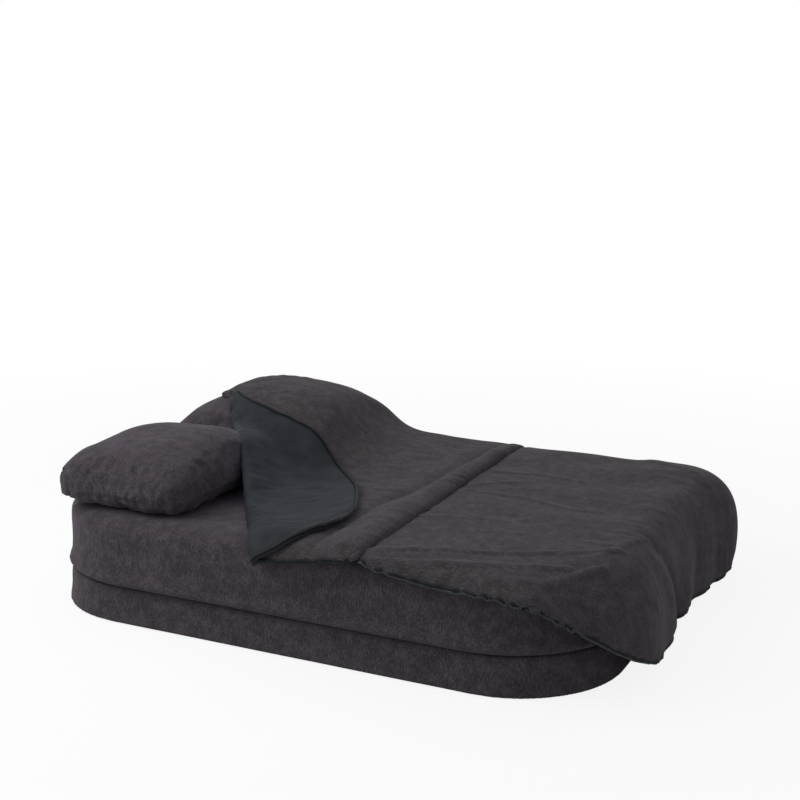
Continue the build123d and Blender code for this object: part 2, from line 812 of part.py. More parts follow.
def quilt_lift(x, y):
    """Height that the pillows lift the quilt by over the mattress, at a point of the plan."""
    lifts = []
    for middle_y in (near_pillow_middle_y, far_pillow_middle_y):
        aside_x = abs(x - pillow_middle_x)
        aside_y = abs(y - middle_y)
        rise = pillow_swell(min(aside_y / (pillow_across / 2), 1), pillow_end_rise, pillow_rise)
        half = pillow_along / 2
        bow = (half**2 + rise**2) / (2 * rise)
        top = sqrt(bow**2 - min(aside_x, half) ** 2) - bow + rise
        past = hypot(max(aside_x - half, 0), max(aside_y - pillow_across / 2, 0))
        lifts.append((pillow_sink + top + quilt_pillow_margin) * max(0, 1 - past / quilt_drape_run))
    return max(lifts)


def edge_drop(y):
    """How far the quilt has sunk at a point across the bed, past the mattress's two long edges."""
    past = max(abs(y) - half_depth + quilt_edge_start, 0)
    return quilt_side_drop * (past / (quilt_far_overhang + quilt_edge_start)) ** 2


def crease_x(y):
    """Where the turned-back corner folds, across the bed."""
    share = (y + half_depth + quilt_near_overhang) / (quilt_crease_far_y + half_depth + quilt_near_overhang)
    return quilt_crease_near_x + share * (quilt_crease_far_x - quilt_crease_near_x)


def head_edge_x(y):
    """Head end of the upper panel: the crease, then the head edge with its rounded far corner."""
    if y <= quilt_crease_far_y:
        return crease_x(y)
    corner_middle_y = half_depth + quilt_far_overhang - quilt_corner_radius
    past = min(max(y - corner_middle_y, 0), quilt_corner_radius)
    return quilt_head_x + quilt_corner_radius - sqrt(quilt_corner_radius**2 - past**2)


far_edge_y = half_depth + quilt_far_overhang
near_edge_y = -half_depth - quilt_near_overhang
panel_near_shares = (1.0, 0.957, 0.87, 0.74, 0.6, 0.45, 0.3, 0.15, 0.0)
panel_crease_shares = (0.25, 0.5, 0.75, 1.0)
panel_far_shares = (0.15, 0.3, 0.45, 0.6, 0.72, 0.85, 1.0)
crease_lines = [share * near_edge_y for share in panel_near_shares]
crease_lines += [share * quilt_crease_far_y for share in panel_crease_shares]
far_lines = [quilt_crease_far_y + share * (far_edge_y - quilt_crease_far_y) for share in panel_far_shares]
panel_x_shares = (0.0, 0.07, 0.14, 0.21, 0.28, 0.35, 0.42, 0.5, 0.6, 0.8, 1.0)


def panel_points(y):
    """Underside of the upper panel along one line of the bed, from its head edge to the seam."""
    points = []
    for share in panel_x_shares:
        x = head_edge_x(y) + share * (seam_upper_x - head_edge_x(y))
        arch = 4 * share * (1 - share) * quilt_arch
        points.append((x, quilt_rest + arch - edge_drop(y) + quilt_lift(x, y)))
    return points


def height_on(points, x):
    """Height of a line of points at a place along it."""
    for start, end in zip(points, points[1:]):
        if x <= end[0]:
            return start[1] + (x - start[0]) / (end[0] - start[0]) * (end[1] - start[1])
    return points[-1][1]


def padded_outline(points):
    """Outline of a padded layer over a line of points."""
    return points + [(x, z + quilt_thickness) for x, z in reversed(points)]


with BuildPart() as quilt_upper_panel:
    for y in crease_lines + far_lines:
        with BuildSketch(Plane.XZ.offset(-y)):
            with BuildLine():
                Polyline(*padded_outline(panel_points(y)), close=True)
            make_face()
    loft(ruled=True)
save(quilt_upper_panel.part, "quilt_upper_panel")

# Quilt: the near head corner turned back over the upper panel
flap_width_shares = (0.07, 0.16, 0.3, 0.54, 0.74, 0.93, 1.0, 0.92, 0.66, 0.5, 0.4, 0.28, 0.05)
flap_x_shares = (0.0, 0.25, 0.5, 0.75, 1.0)
flap_gap_shares = (0.0, 0.95, 1.25, 1.2, 1.0)
with BuildPart() as quilt_turned_corner:
    for y, width_share in zip(crease_lines, flap_width_shares):
        under = panel_points(y)
        flap_points = []
        for share, gap_share in zip(flap_x_shares, flap_gap_shares):
            x = crease_x(y) + share * width_share * flap_width
            gap = soft_clearance + gap_share * flap_gap
            flap_points.append((x, height_on(under, x) + quilt_thickness + gap))
        with BuildSketch(Plane.XZ.offset(-y)):
            with BuildLine():
                Polyline(*padded_outline(flap_points), close=True)
            make_face()
    loft(ruled=True)
save(quilt_turned_corner.part, "quilt_turned_corner")

# Quilt: seam tape and zips
with BuildPart() as quilt_seam_tape:
    with BuildSketch(Plane.XY.offset(quilt_rest)):
        with Locations((quilt_seam_x, 0)):
            Rectangle(quilt_seam_gap, 2 * (half_depth - quilt_top_inset))
    extrude(amount=quilt_seam_tape_thickness)
save(quilt_seam_tape.part, "quilt_seam_tape")

with BuildPart() as quilt_lower_zip:
    for index, station in enumerate(stations):
        inner, outer = border_profile(index)
        fall = (inner[4][0] - inner[3][0], inner[4][1] - inner[3][1])
        fall_length = hypot(*fall)
        fall_out = fall[0] / fall_length
        fall_up = fall[1] / fall_length
        middle = ((inner[4][0] + outer[4][0]) / 2, (inner[4][1] + outer[4][1]) / 2)
        with BuildSketch(station_plane(station)):
            with BuildLine():
                corners = []
                for along, across in ((0, -1), (1, -1), (1, 1), (0, 1)):
                    down = soft_clearance + along * zip_width
                    aside = across * zip_width / 2
                    corners.append(
                        (
                            middle[0] + fall_out * down - fall_up * aside,
                            middle[1] + fall_up * down + fall_out * aside,
                        )
                    )
                Polyline(*corners, close=True)
            make_face()
    loft(ruled=True)
save(quilt_lower_zip.part, "quilt_lower_zip")

with BuildPart() as quilt_upper_zip:
    edge_points = [(x, z + (quilt_thickness - zip_width) / 2) for x, z in panel_points(near_edge_y)]
    with BuildSketch(Plane.XZ.offset(-near_edge_y)):
        with BuildLine():
            Polyline(*edge_points, *[(x, z + zip_width) for x, z in reversed(edge_points)], close=True)
        make_face()
    extrude(amount=zip_width)
save(quilt_upper_zip.part, "quilt_upper_zip")
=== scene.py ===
# %% [markdown]
# # A folding sofa bed, lying open with its bedding on
# The frame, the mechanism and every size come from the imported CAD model. This script dresses it: the
# upholstery, the pillows and the quilt are built here as soft forms, and every material is made of nodes.

# %% The frame
import math

import bmesh
import bpy
import numpy as np
from mathutils import Matrix, Vector, noise


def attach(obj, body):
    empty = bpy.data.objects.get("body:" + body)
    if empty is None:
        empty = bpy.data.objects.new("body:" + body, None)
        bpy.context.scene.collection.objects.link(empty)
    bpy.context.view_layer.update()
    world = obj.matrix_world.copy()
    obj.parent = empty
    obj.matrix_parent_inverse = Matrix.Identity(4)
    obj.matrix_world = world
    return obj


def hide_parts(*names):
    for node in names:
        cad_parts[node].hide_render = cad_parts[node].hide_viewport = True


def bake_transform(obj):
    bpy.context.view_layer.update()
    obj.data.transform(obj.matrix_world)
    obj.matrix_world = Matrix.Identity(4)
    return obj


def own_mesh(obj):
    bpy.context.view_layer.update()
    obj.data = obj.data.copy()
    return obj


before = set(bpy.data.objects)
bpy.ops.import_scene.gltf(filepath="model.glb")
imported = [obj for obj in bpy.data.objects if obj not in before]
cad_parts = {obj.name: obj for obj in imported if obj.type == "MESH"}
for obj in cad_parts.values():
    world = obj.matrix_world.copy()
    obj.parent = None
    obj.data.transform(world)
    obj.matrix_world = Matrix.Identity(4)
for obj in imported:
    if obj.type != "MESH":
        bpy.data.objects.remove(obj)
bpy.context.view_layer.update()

MM = 0.001
scene = bpy.context.scene

# %% [markdown]
# ## Camera
# The place and the lens were solved from the bed's rounded outline in the photograph. The camera is set by
# its three axes, so that no rounding of angles moves the frame.

# %% Camera
camera_data = bpy.data.cameras.new("camera")
camera_data.sensor_width = 36.0
camera_data.lens = 62.02
camera = bpy.data.objects.new("camera", camera_data)
scene.collection.objects.link(camera)
camera_back = Vector((0.42929, -0.87664, 0.21728)).normalized()
camera_right = Vector((0, 0, 1)).cross(camera_back).normalized()
camera_up = camera_back.cross(camera_right)
camera.matrix_world = Matrix(
    (
        (camera_right.x, camera_up.x, camera_back.x, 2.12914),
        (camera_right.y, camera_up.y, camera_back.y, -4.1911),
        (camera_right.z, camera_up.z, camera_back.z, 1.73237),
        (0, 0, 0, 1),
    )
)
scene.camera = camera
scene.view_settings.view_transform = "Standard"
print("lens", camera_data.lens)


# %% [markdown]
# ## Materials
# Colours are written as sRGB hex values, as a maker would read them from a swatch, and one function turns
# them to the linear values that a shader works in. The rest add nodes: noise with a pattern's real size in
# mm, a sum or product, a ramp of colours, and a fine relief.

# %% Colour and node helpers
def tone(hex_value):
    """Linear colour of an sRGB hex value."""
    channels = [int(hex_value[i : i + 2], 16) / 255 for i in (1, 3, 5)]
    return (*(c / 12.92 if c <= 0.04045 else ((c + 0.055) / 1.055) ** 2.4 for c in channels), 1.0)


def per_metre(size_mm):
    """A texture's scale, in repeats per metre, from the size of its pattern in mm."""
    return 1 / (size_mm * MM)


def add_node(material, kind, settings=(), links=()):
    """Adds a node, sets its attributes or input values, and links inputs from other nodes' outputs."""
    node = material.node_tree.nodes.new(kind)
    for key, value in dict(settings).items():
        if isinstance(key, int) or key in node.inputs:
            node.inputs[key].default_value = value
        else:
            setattr(node, key, value)
    for key, source in dict(links).items():
        material.node_tree.links.new(source, node.inputs[key])
    return node


def new_material(name, surface):
    """A material with an empty tree, one shader with these values, and the output joined to it."""
    material = bpy.data.materials.new(name)
    material.use_nodes = True
    material.node_tree.nodes.clear()
    shader = add_node(material, "ShaderNodeBsdfPrincipled", surface)
    add_node(material, "ShaderNodeOutputMaterial", links={"Surface": shader.outputs["BSDF"]})
    return material, shader


def blend_colours(material, factor, stops):
    """A ramp of colours over a factor: stops are (place, hex)."""
    ramp = add_node(material, "ShaderNodeValToRGB", links={"Fac": factor})
    while len(ramp.color_ramp.elements) < len(stops):
        ramp.color_ramp.elements.new(0.5)
    for element, (place, colour) in zip(ramp.color_ramp.elements, stops):
        element.position = place
        element.color = tone(colour)
    return ramp.outputs["Color"]


# %% Pattern and relief helpers
def drawn_mottle(material, sizes_mm, detail, roughness=0.5):
    """Noise with a pattern size of its own along each axis of the object."""
    place = add_node(material, "ShaderNodeTexCoord").outputs["Object"]
    scale = [per_metre(size) for size in sizes_mm]
    drawn = add_node(material, "ShaderNodeMapping", {"Scale": scale}, {"Vector": place}).outputs[0]
    values = {"Scale": 1.0, "Detail": detail, "Roughness": roughness}
    return add_node(material, "ShaderNodeTexNoise", values, {"Vector": drawn}).outputs["Fac"]


def mottle(material, size_mm, detail, roughness=0.5):
    """Noise with one pattern size."""
    place = add_node(material, "ShaderNodeTexCoord").outputs["Object"]
    values = {"Scale": per_metre(size_mm), "Detail": detail, "Roughness": roughness}
    return add_node(material, "ShaderNodeTexNoise", values, {"Vector": place}).outputs["Fac"]


def maths(material, operation, first, value, added=None):
    """An output with a value taken from it or multiplied into it, plus another output if one is given."""
    links = {0: first} if added is None else {0: first, 2: added}
    return add_node(material, "ShaderNodeMath", {"operation": operation, 1: value}, links).outputs[0]


def relief(material, height, strength, depth_mm, under=None):
    """The normal of a fine relief, laid over another one if one is given."""
    links = {"Height": height} if under is None else {"Height": height, "Normal": under}
    values = {"Strength": strength, "Distance": depth_mm * MM}
    return add_node(material, "ShaderNodeBump", values, links).outputs["Normal"]


def plug(material, shader, outputs):
    """Links outputs to the shader's inputs by name."""
    for name, output in outputs.items():
        material.node_tree.links.new(output, shader.inputs[name])


# %% [markdown]
# The velour is a knitted pile fabric, dyed a warm anthracite. Its pile is about 1 mm high and gets brushed
# both ways, which shows as soft mottled patches of lighter and darker nap, 5 to 40 mm across. Real pile
# catches light at grazing angles, so the shader has sheen. A single fibre is far too fine to show, so the
# smallest grain is drawn at 2 mm.

# %% Velour
PATCH_MM, NAP_MM, GRAIN_MM = 38.5, 5.26, 1.92
SLUB_WIDE_MM, SLUB_LONG_MM = 2.38, 16.7
PATCH_SHARE, NAP_SHARE, SLUB_SHARE, SHIFT = 0.55, 0.5, 0.75, 0.4
PILE_MM, FIBRE_MM = 1.4, 0.6
SHADES_AT = (0.34, 0.5, 0.68)


def velour(name, shades, slub_axis):
    """Velour in three shades of its nap, with slubs drawn out along one axis."""
    material, shader = new_material(
        name,
        {"Roughness": 0.95, "Sheen Weight": 0.12, "Sheen Roughness": 0.5, "Specular IOR Level": 0.12},
    )
    shader.inputs["Sheen Tint"].default_value = tone("#b4acb4")
    slub_sizes = [SLUB_LONG_MM if axis == slub_axis else SLUB_WIDE_MM for axis in "XYZ"]
    streaked = maths(material, "MULTIPLY", mottle(material, NAP_MM, 2.0, 0.65), NAP_SHARE)
    for pattern, share in (
        (mottle(material, PATCH_MM, 3.0, 0.6), PATCH_SHARE),
        (drawn_mottle(material, slub_sizes, 2.0), SLUB_SHARE),
    ):
        streaked = maths(material, "MULTIPLY_ADD", pattern, share, streaked)
    shifted = maths(material, "SUBTRACT", streaked, SHIFT)
    colour = blend_colours(material, shifted, tuple(zip(SHADES_AT, shades)))
    pile = relief(material, streaked, 0.4, PILE_MM)
    fibres = relief(material, mottle(material, GRAIN_MM, 1.0), 0.25, FIBRE_MM, under=pile)
    plug(material, shader, {"Base Color": colour, "Normal": fibres})
    return material


bed_velour = velour("velour_anthracite_upholstery", ("#2d2a2e", "#393539", "#494448"), "Z")
quilt_velour = velour("velour_anthracite_quilt", ("#2b2829", "#363335", "#444042"), "X")
print("velours", bed_velour.name, quilt_velour.name)

# %% [markdown]
# The quilt's lining is a closely woven microfibre with a soft sheen, a cooler blue grey than the velour. Its
# threads are about 0.1 mm, far below a pixel, so only a fine grain stands for them.

# %% Lining
def two_shades(name, values, shades, pattern_mm, detail=1.0, stops=(0.35, 0.65)):
    """A material mottled in two shades at one size; gives it, its shader and its pattern."""
    material, shader = new_material(name, values)
    pattern = mottle(material, pattern_mm, detail)
    plug(material, shader, {"Base Color": blend_colours(material, pattern, tuple(zip(stops, shades)))})
    return material, shader, pattern


SHADE_MM, THREAD_MM, WEAVE_RELIEF_MM = 83.3, 1.11, 0.3
lining, shader, _ = two_shades(
    "microfibre_lining_woven",
    {"Roughness": 0.6, "Sheen Weight": 0.03, "Sheen Roughness": 0.3, "Specular IOR Level": 0.07},
    ("#1f2125", "#272a2e"),
    SHADE_MM,
    detail=2.0,
)
shader.inputs["Sheen Tint"].default_value = tone("#a9b4c4")
weave = relief(lining, mottle(lining, THREAD_MM, 1.0), 0.1, WEAVE_RELIEF_MM)
plug(lining, shader, {"Normal": weave})
print("lining", lining.name)

# %% [markdown]
# The zips are nylon coils on woven tape, nearly black. The tape is ribbed across at about 1.4 mm, and a strip
# of lining binds the quilt's edge beside it.

# %% Zip tape, coil and binding
RIB_MM, COIL_MM, BINDING_MM = 1.43, 4.17, 2.38
zip_tape, _, _ = two_shades(
    "nylon_zip_tape_woven",
    {"Roughness": 0.75, "Sheen Weight": 0.05, "Specular IOR Level": 0.2},
    ("#131417", "#1d1f22"),
    RIB_MM,
)
zip_coil, _, _ = two_shades(
    "nylon_zip_coil_moulded",
    {"Roughness": 0.6, "Specular IOR Level": 0.12},
    ("#0b0c0d", "#151618"),
    COIL_MM,
    detail=2.0,
    stops=(0.35, 0.7),
)
zip_binding, _, _ = two_shades(
    "microfibre_binding_woven",
    {"Roughness": 0.5, "Sheen Weight": 0.05, "Specular IOR Level": 0.3},
    ("#202327", "#2f3339"),
    BINDING_MM,
    stops=(0.35, 0.7),
)
print("materials", len(bpy.data.materials))


# %% [markdown]
# ## Mesh helpers
# Most pieces here are skins: a grid of points worked out row by row. A closed form is remeshed to even quads
# before it is puckered, so that folds are as fine at the corners as along the sides.

# %% Mesh helpers
def mesh_piece(name, points, faces, material):
    """A smooth-shaded mesh object from points in metres."""
    mesh = bpy.data.meshes.new(name)
    mesh.from_pydata([tuple(map(float, p)) for p in points], [], [tuple(map(int, f)) for f in faces])
    mesh.materials.append(material)
    mesh.polygons.foreach_set("use_smooth", [True] * len(mesh.polygons))
    mesh.update()
    piece = bpy.data.objects.new(name, mesh)
    scene.collection.objects.link(piece)
    return piece


def grid_faces(rows, columns, around=False, first=0, flip=False):
    """Quads of a grid of rows x columns points, closed along the columns if it goes around."""
    faces = []
    last = columns if around else columns - 1
    for r in range(rows - 1):
        for c in range(last):
            a, b = first + r * columns + c, first + r * columns + (c + 1) % columns
            quad = (a, b, b + columns, a + columns)
            faces.append(quad[::-1] if flip else quad)
    return faces


def baked(piece, kind, **settings):
    """The piece with one modifier applied to its mesh."""
    modifier = piece.modifiers.new(kind.lower(), kind)
    for key, value in settings.items():
        setattr(modifier, key, value)
    graph = bpy.context.evaluated_depsgraph_get()
    mesh = bpy.data.meshes.new_from_object(piece.evaluated_get(graph))
    piece.modifiers.remove(modifier)
    old = piece.data
    piece.data = mesh
    bpy.data.meshes.remove(old)
    piece.data.polygons.foreach_set("use_smooth", [True] * len(piece.data.polygons))
    return piece


def places(piece):
    """A piece's vertices as rows of metres."""
    flat = np.empty(len(piece.data.vertices) * 3)
    piece.data.vertices.foreach_get("co", flat)
    return flat.reshape(-1, 3)


def normals(piece):
    """Unit normals at a piece's vertices."""
    flat = np.empty(len(piece.data.vertices) * 3)
    piece.data.vertices.foreach_get("normal", flat)
    return flat.reshape(-1, 3)


def put_places(piece, points):
    """Moves a piece's vertices."""
    piece.data.vertices.foreach_set("co", np.asarray(points, float).ravel())
    piece.data.update()


def cloud(points, size, seed=0):
    """Smooth noise from -1 to 1 at each point, with patches of about that size in metres."""
    shift = Vector((7.3 * seed, 3.1 * seed, 5.7 * seed))
    return np.array([noise.noise(Vector(p) / size + shift) for p in points]) * 1.6


def bell(distance, width):
    """A smooth bump of 1 at no distance, fading over the width."""
    return np.exp(-((distance / width) ** 2))


# %% Shells and lines
def closed_shell(name, top, under, upper_material, lower_material):
    """Joins two grids of the same size along their rims into one closed piece of two materials."""
    rows, columns = top.shape[:2]
    points = np.concatenate((top.reshape(-1, 3), under.reshape(-1, 3)))
    count = rows * columns
    upper_faces = grid_faces(rows, columns)
    lower_faces = grid_faces(rows, columns, first=count, flip=True)
    ring = list(range(columns))
    ring += [r * columns + columns - 1 for r in range(1, rows)]
    ring += [(rows - 1) * columns + c for c in range(columns - 2, -1, -1)]
    ring += [r * columns for r in range(rows - 2, 0, -1)]
    rim = [(a, a + count, b + count, b) for a, b in zip(ring, ring[1:] + ring[:1])]
    piece = mesh_piece(name, points, upper_faces + lower_faces + rim, upper_material)
    piece.data.materials.append(lower_material)
    index = [0] * len(upper_faces) + [1] * len(lower_faces) + [0] * len(rim)
    piece.data.polygons.foreach_set("material_index", index)
    return piece


def even(points, count):
    """Points spaced evenly along a line."""
    points = np.asarray(points, float)
    run = np.concatenate(([0], np.cumsum(np.linalg.norm(np.diff(points, axis=0), axis=1))))
    share = np.linspace(0, run[-1], count)
    return np.stack([np.interp(share, run, points[:, k]) for k in range(points.shape[1])], axis=1)


def rounded(points, count, cuts=3):
    """A line with its corners cut round and its points spaced evenly."""
    points = np.asarray(points, float)
    for _ in range(cuts):
        near = points[:-1] * 0.75 + points[1:] * 0.25
        far = points[:-1] * 0.25 + points[1:] * 0.75
        cut = np.stack((near, far), axis=1).reshape(-1, points.shape[1])
        points = np.concatenate((points[:1], cut, points[-1:]))
    return even(points, count)


def from_line(x, y, line):
    """Distance of plan points from a line of plan points."""
    nearest = np.full(x.shape, 9.0)
    for (x0, y0), (x1, y1) in zip(line, line[1:]):
        length2 = (x1 - x0) ** 2 + (y1 - y0) ** 2
        share = np.clip(((x - x0) * (x1 - x0) + (y - y0) * (y1 - y0)) / length2, 0, 1)
        nearest = np.minimum(nearest, np.hypot(x - x0 - share * (x1 - x0), y - y0 - share * (y1 - y0)))
    return nearest


# %% [markdown]
# ## Upholstery
# The bed is two layers. The lower layer is a padded band, 13 cm high and set back a little. The upper
# layer is the mattress, split along the middle into a seat half and a back half. Each cover is a sewn fabric
# box over foam: its sides bulge a few millimetres, the top edge is soft, and the lower edge rolls under in a
# lip above the seam. The stack of outlines below is closed, remeshed and then puckered.

# %% Section outlines
HALF_LENGTH, HALF_DEPTH, CORNER, BASE_CORNER = 1.0, 0.7, 0.383, 0.350
UPPER_ROWS = (  # height, how far it stands out, in mm
    (131.5, -40), (131.5, -14), (132.5, 4), (136, 14), (143, 20), (152, 22), (163, 18), (177, 12),
    (215, 10), (258, 10), (296, 9.5), (322, 7.5), (338, 2), (350, -9), (358, -24), (363, -42),
    (365.2, -66), (366, -92),
)
SPLIT_SHARE, MID_HEIGHT = 0.8, 250  # over this height the edge along the split is rounded, for the fold
SPLIT_Y, BASE_REAR_Y, TURN_POINTS = -0.002, 0.215, 19
LOWER_ROWS = (
    (1, -40), (1, 2), (2.5, 9), (8, 13), (24, 10), (60, 5), (95, 4), (123, 0),
    (128, -6), (129.5, -34), (129.5, -60),
)


def section_outline(out, split_out, rear, corner):
    """Plan of one half, anticlockwise from above: straight along the split, round at the outer corners."""
    x_reach, y_front, radius = HALF_LENGTH + out, HALF_DEPTH + out, corner + out
    y_rear = rear + split_out
    middle_x, middle_y = x_reach - radius, radius - y_front
    turns = np.radians(np.linspace(-90, 0, TURN_POINTS))
    right = [(middle_x + radius * math.cos(a), middle_y + radius * math.sin(a)) for a in turns]
    left = [(-x, y) for x, y in reversed(right)]
    return [(-x_reach, y_rear)] + left + right + [(x_reach, y_rear)]


def section_solid(name, rows, rear, corner, voxel):
    """A closed stack of outlines, remeshed to even quads."""
    loops = []
    for height, out in rows:
        split_out = min(out * MM, 0) * SPLIT_SHARE if height > MID_HEIGHT else 0
        loop = section_outline(out * MM, split_out, rear, corner)
        loops.append([(x, y, height * MM) for x, y in loop])
    columns = len(loops[0])
    points = [p for loop in loops for p in loop]
    faces = grid_faces(len(loops), columns, around=True)
    faces.append(tuple(range(columns))[::-1])
    faces.append(tuple((len(loops) - 1) * columns + c for c in range(columns)))
    piece = mesh_piece(name, points, faces, bed_velour)
    return baked(piece, "REMESH", mode="VOXEL", voxel_size=voxel, use_smooth_shade=True)


VOXEL = 0.009
seat = section_solid("seat_upholstery", UPPER_ROWS, SPLIT_Y, CORNER, VOXEL)
base = section_solid("base_upholstery", LOWER_ROWS, BASE_REAR_Y, BASE_CORNER, VOXEL)
back = section_solid("back_upholstery", UPPER_ROWS, SPLIT_Y, CORNER, VOXEL)
print("upholstery points", len(seat.data.vertices), len(base.data.vertices))


# %% [markdown]
# Sewn covers pucker where the seam gathers them, so the lip above the seam waves a little, and the long sides
# are never quite flat. Each half's top has one straight panel seam, 12 cm in from its long side.

# %% Puckers, bulges and the panel seam
LIP_Z, LIP_RUN = 0.150, 0.020
RIM_Z, RIM_RUN = 0.352, 0.022
SEAM_Y, SEAM_DEEP, SEAM_WIDE = -0.58, 0.0024, 0.0045
SWELL_HIGH, SWELL_AWAY, SWELL_WIDE = 0.0012, 0.012, 0.006
LIP_WAVE, LIP_PUCKER = (0.0022, 0.055, 0), (0.0016, 0.021, 1)  # height, patch size, step of the seed
SIDE_WAVE, RIM_WAVE, TOP_WAVE = (0.0024, 0.17, 2), (0.0015, 0.045, 3), (0.0016, 0.22, 4)
BASE_WAVE, BASE_PUCKER, BASE_LIP_Z = (0.0022, 0.2, 21), (0.0013, 0.05, 22), 0.12
STILL, STILL_RUN = 0.003, 0.02
UPRIGHT_DRAW, SIDE_STEEPNESS, RIM_PART = 0.25, 1.6, 0.5


def wave(points, seed, height, size, step):
    """Smooth noise of a height and a patch size in metres."""
    return height * cloud(points, size, seed + step)


# %% Dressing the two layers
def dress_section(piece, seed):
    """Puckers the lip, waves the sides and sinks the panel seam."""
    p, n = places(piece), normals(piece)
    along = np.column_stack((p[:, 0], p[:, 1], p[:, 2] * UPRIGHT_DRAW))
    lip = bell(p[:, 2] - LIP_Z, LIP_RUN)
    rim = bell(p[:, 2] - RIM_Z, RIM_RUN)
    side = np.clip(1 - np.abs(n[:, 2]) * SIDE_STEEPNESS, 0, 1)
    move = wave(along, seed, *LIP_WAVE) * lip * side
    move += wave(along, seed, *LIP_PUCKER) * lip * side
    move += wave(p, seed, *SIDE_WAVE) * np.clip(side + RIM_PART * rim, 0, 1)
    move += wave(along, seed, *RIM_WAVE) * rim
    top = np.clip(n[:, 2], 0, 1) ** 4
    move += wave(p, seed, *TOP_WAVE) * top
    away = np.abs(p[:, 1] - SEAM_Y)
    move += top * (SWELL_HIGH * bell(away - SWELL_AWAY, SWELL_WIDE) - SEAM_DEEP * bell(away, SEAM_WIDE))
    clear = np.clip((np.abs(p[:, 1]) - STILL) / STILL_RUN, 0, 1)
    put_places(piece, p + n * (move * clear)[:, None])


dress_section(seat, 1)
dress_section(back, 9)
p = places(back)
p[:, 1] *= -1
put_places(back, p)
back.data.flip_normals()
p, n = places(base), normals(base)
move = wave(p, 0, *BASE_WAVE) + wave(p, 0, *BASE_PUCKER) * bell(p[:, 2] - BASE_LIP_Z, LIP_RUN)
put_places(base, p + n * (move * np.clip(1 - np.abs(n[:, 2]), 0, 1))[:, None])
for piece, body, covered in (
    (seat, "root", ("seat_cover", "seat_wadding", "seat_core")),
    (base, "root", ("base_cover", "base_padding")),
    (back, "back_section", ("back_cover", "back_wadding", "back_core")),
):
    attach(piece, body)
    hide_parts(*covered)
print("seat reaches", np.round(places(seat).min(0), 3), np.round(places(seat).max(0), 3))

# %% [markdown]
# ## Pillows
# Each pillow is a soft bag, 66 by 53 cm, full in the middle and blunt at its ends, where the cover is boxed.
# It starts from two domed skins with a low wall between them, remeshed to even quads. A short cloth
# simulation with air pressure then makes the cover a little larger than its filling, so that it creases at
# the pinned seam as a real one does. No point may move further than a cap.

# %% Pillow form
PILLOW_X, NEAR_Y, FAR_Y = -0.665, -0.352, 0.345
SEAM_Z = 0.4283
MATTRESS_Z = 0.3663
HALF_ACROSS, HALF_ALONG = 0.326, 0.262
DRAWN_ACROSS, DRAWN_ALONG = 0.014, 0.016  # how far the middles of the sides are drawn in
WALL_UP, WALL_DOWN, WALL_SLOPE, UNDER = 0.052, 0.030, 0.65, 0.058
FOOT_TUCK, SKIN_POINTS = 0.07, 44
DOME_ACROSS, DOME_ALONG, DOME_SOFT = 2.1, 2.6, 0.58  # powers: the higher, the squarer the dome's plan


def pillow_form(name, middle_y, crown, tuck, foot_spread, voxel):
    """A closed pillow, its four corners tucked in, remeshed to even quads."""
    shares = np.sin(np.linspace(-math.pi / 2, math.pi / 2, SKIN_POINTS))
    s, t = np.meshgrid(shares, shares, indexing="ij")
    corner = 1 - np.where(t > 0, tuck + FOOT_TUCK, tuck) * (np.abs(s) * np.abs(t)) ** 3
    across = (HALF_ACROSS - DRAWN_ACROSS * (1 - t * t)) * s * corner
    reach = np.where(t > 0, HALF_ALONG + foot_spread, HALF_ALONG)
    along = (reach - DRAWN_ALONG * (1 - s * s)) * t * corner
    plan = (1 - np.abs(s) ** DOME_ACROSS) * (1 - np.abs(t) ** DOME_ALONG)
    dome = np.maximum(plan, 0) ** DOME_SOFT
    slope = 1 - WALL_SLOPE * np.abs(s) ** 4 * (1 - t**4)
    skins = []
    for side, wall, height in ((1, WALL_UP * slope, crown), (-1, WALL_DOWN, UNDER)):
        z = SEAM_Z + side * (wall + (height - wall) * dome)
        skins.append(np.stack((PILLOW_X + along, middle_y + across, z), axis=-1))
    piece = closed_shell(name, skins[0], skins[1], bed_velour, bed_velour)
    piece.data.materials.pop()
    return baked(piece, "REMESH", mode="VOXEL", voxel_size=voxel, use_smooth_shade=True)


# %% Cloth with air pressure
PRESSURE, GROWTH, CAP, STIFFNESS, FRAMES = 2.0, 0.035, 0.012, 0.3, 20


def puffed(piece, pinned):
    """Runs cloth with air pressure, applies it, and caps how far each point moved."""
    start = places(piece)
    group = piece.vertex_groups.new(name="seam")
    group.add([int(i) for i in np.flatnonzero(pinned)], 1.0, "REPLACE")
    cloth = piece.modifiers.new("cloth", "CLOTH")
    cloth.settings.use_pressure = True
    cloth.settings.uniform_pressure_force = PRESSURE
    cloth.settings.shrink_min = -GROWTH
    cloth.settings.vertex_group_mass = "seam"
    cloth.settings.effector_weights.gravity = 0
    cloth.settings.bending_stiffness = STIFFNESS
    cloth.collision_settings.use_collision = False
    for step in range(1, FRAMES + 1):
        scene.frame_set(step)
    graph = bpy.context.evaluated_depsgraph_get()
    end = places(piece.evaluated_get(graph))
    piece.modifiers.remove(cloth)
    piece.vertex_groups.clear()
    scene.frame_set(1)
    move = end - start
    length = np.maximum(np.linalg.norm(move, axis=1, keepdims=True), 1e-9)
    put_places(piece, start + move * np.minimum(1, CAP / length))


# %% Creases of the pillows
PUCKER, PUCKER_RUN, PUCKER_DROP = (0.0090, 0.015, 0), 0.034, 0.012
SEAM_WAVE, SEAM_RUN, PILLOW_WAVE = (0.004, 0.035, 1), 0.06, (0.006, 0.16, 2)
PUCKER_X, PUCKER_REACH, PUCKER_LEAST = PILLOW_X + 0.03, 0.11, 0.35
REST_GAP, REST_ROUND, CREASE_DRAW = 0.0015, 0.012, 0.12


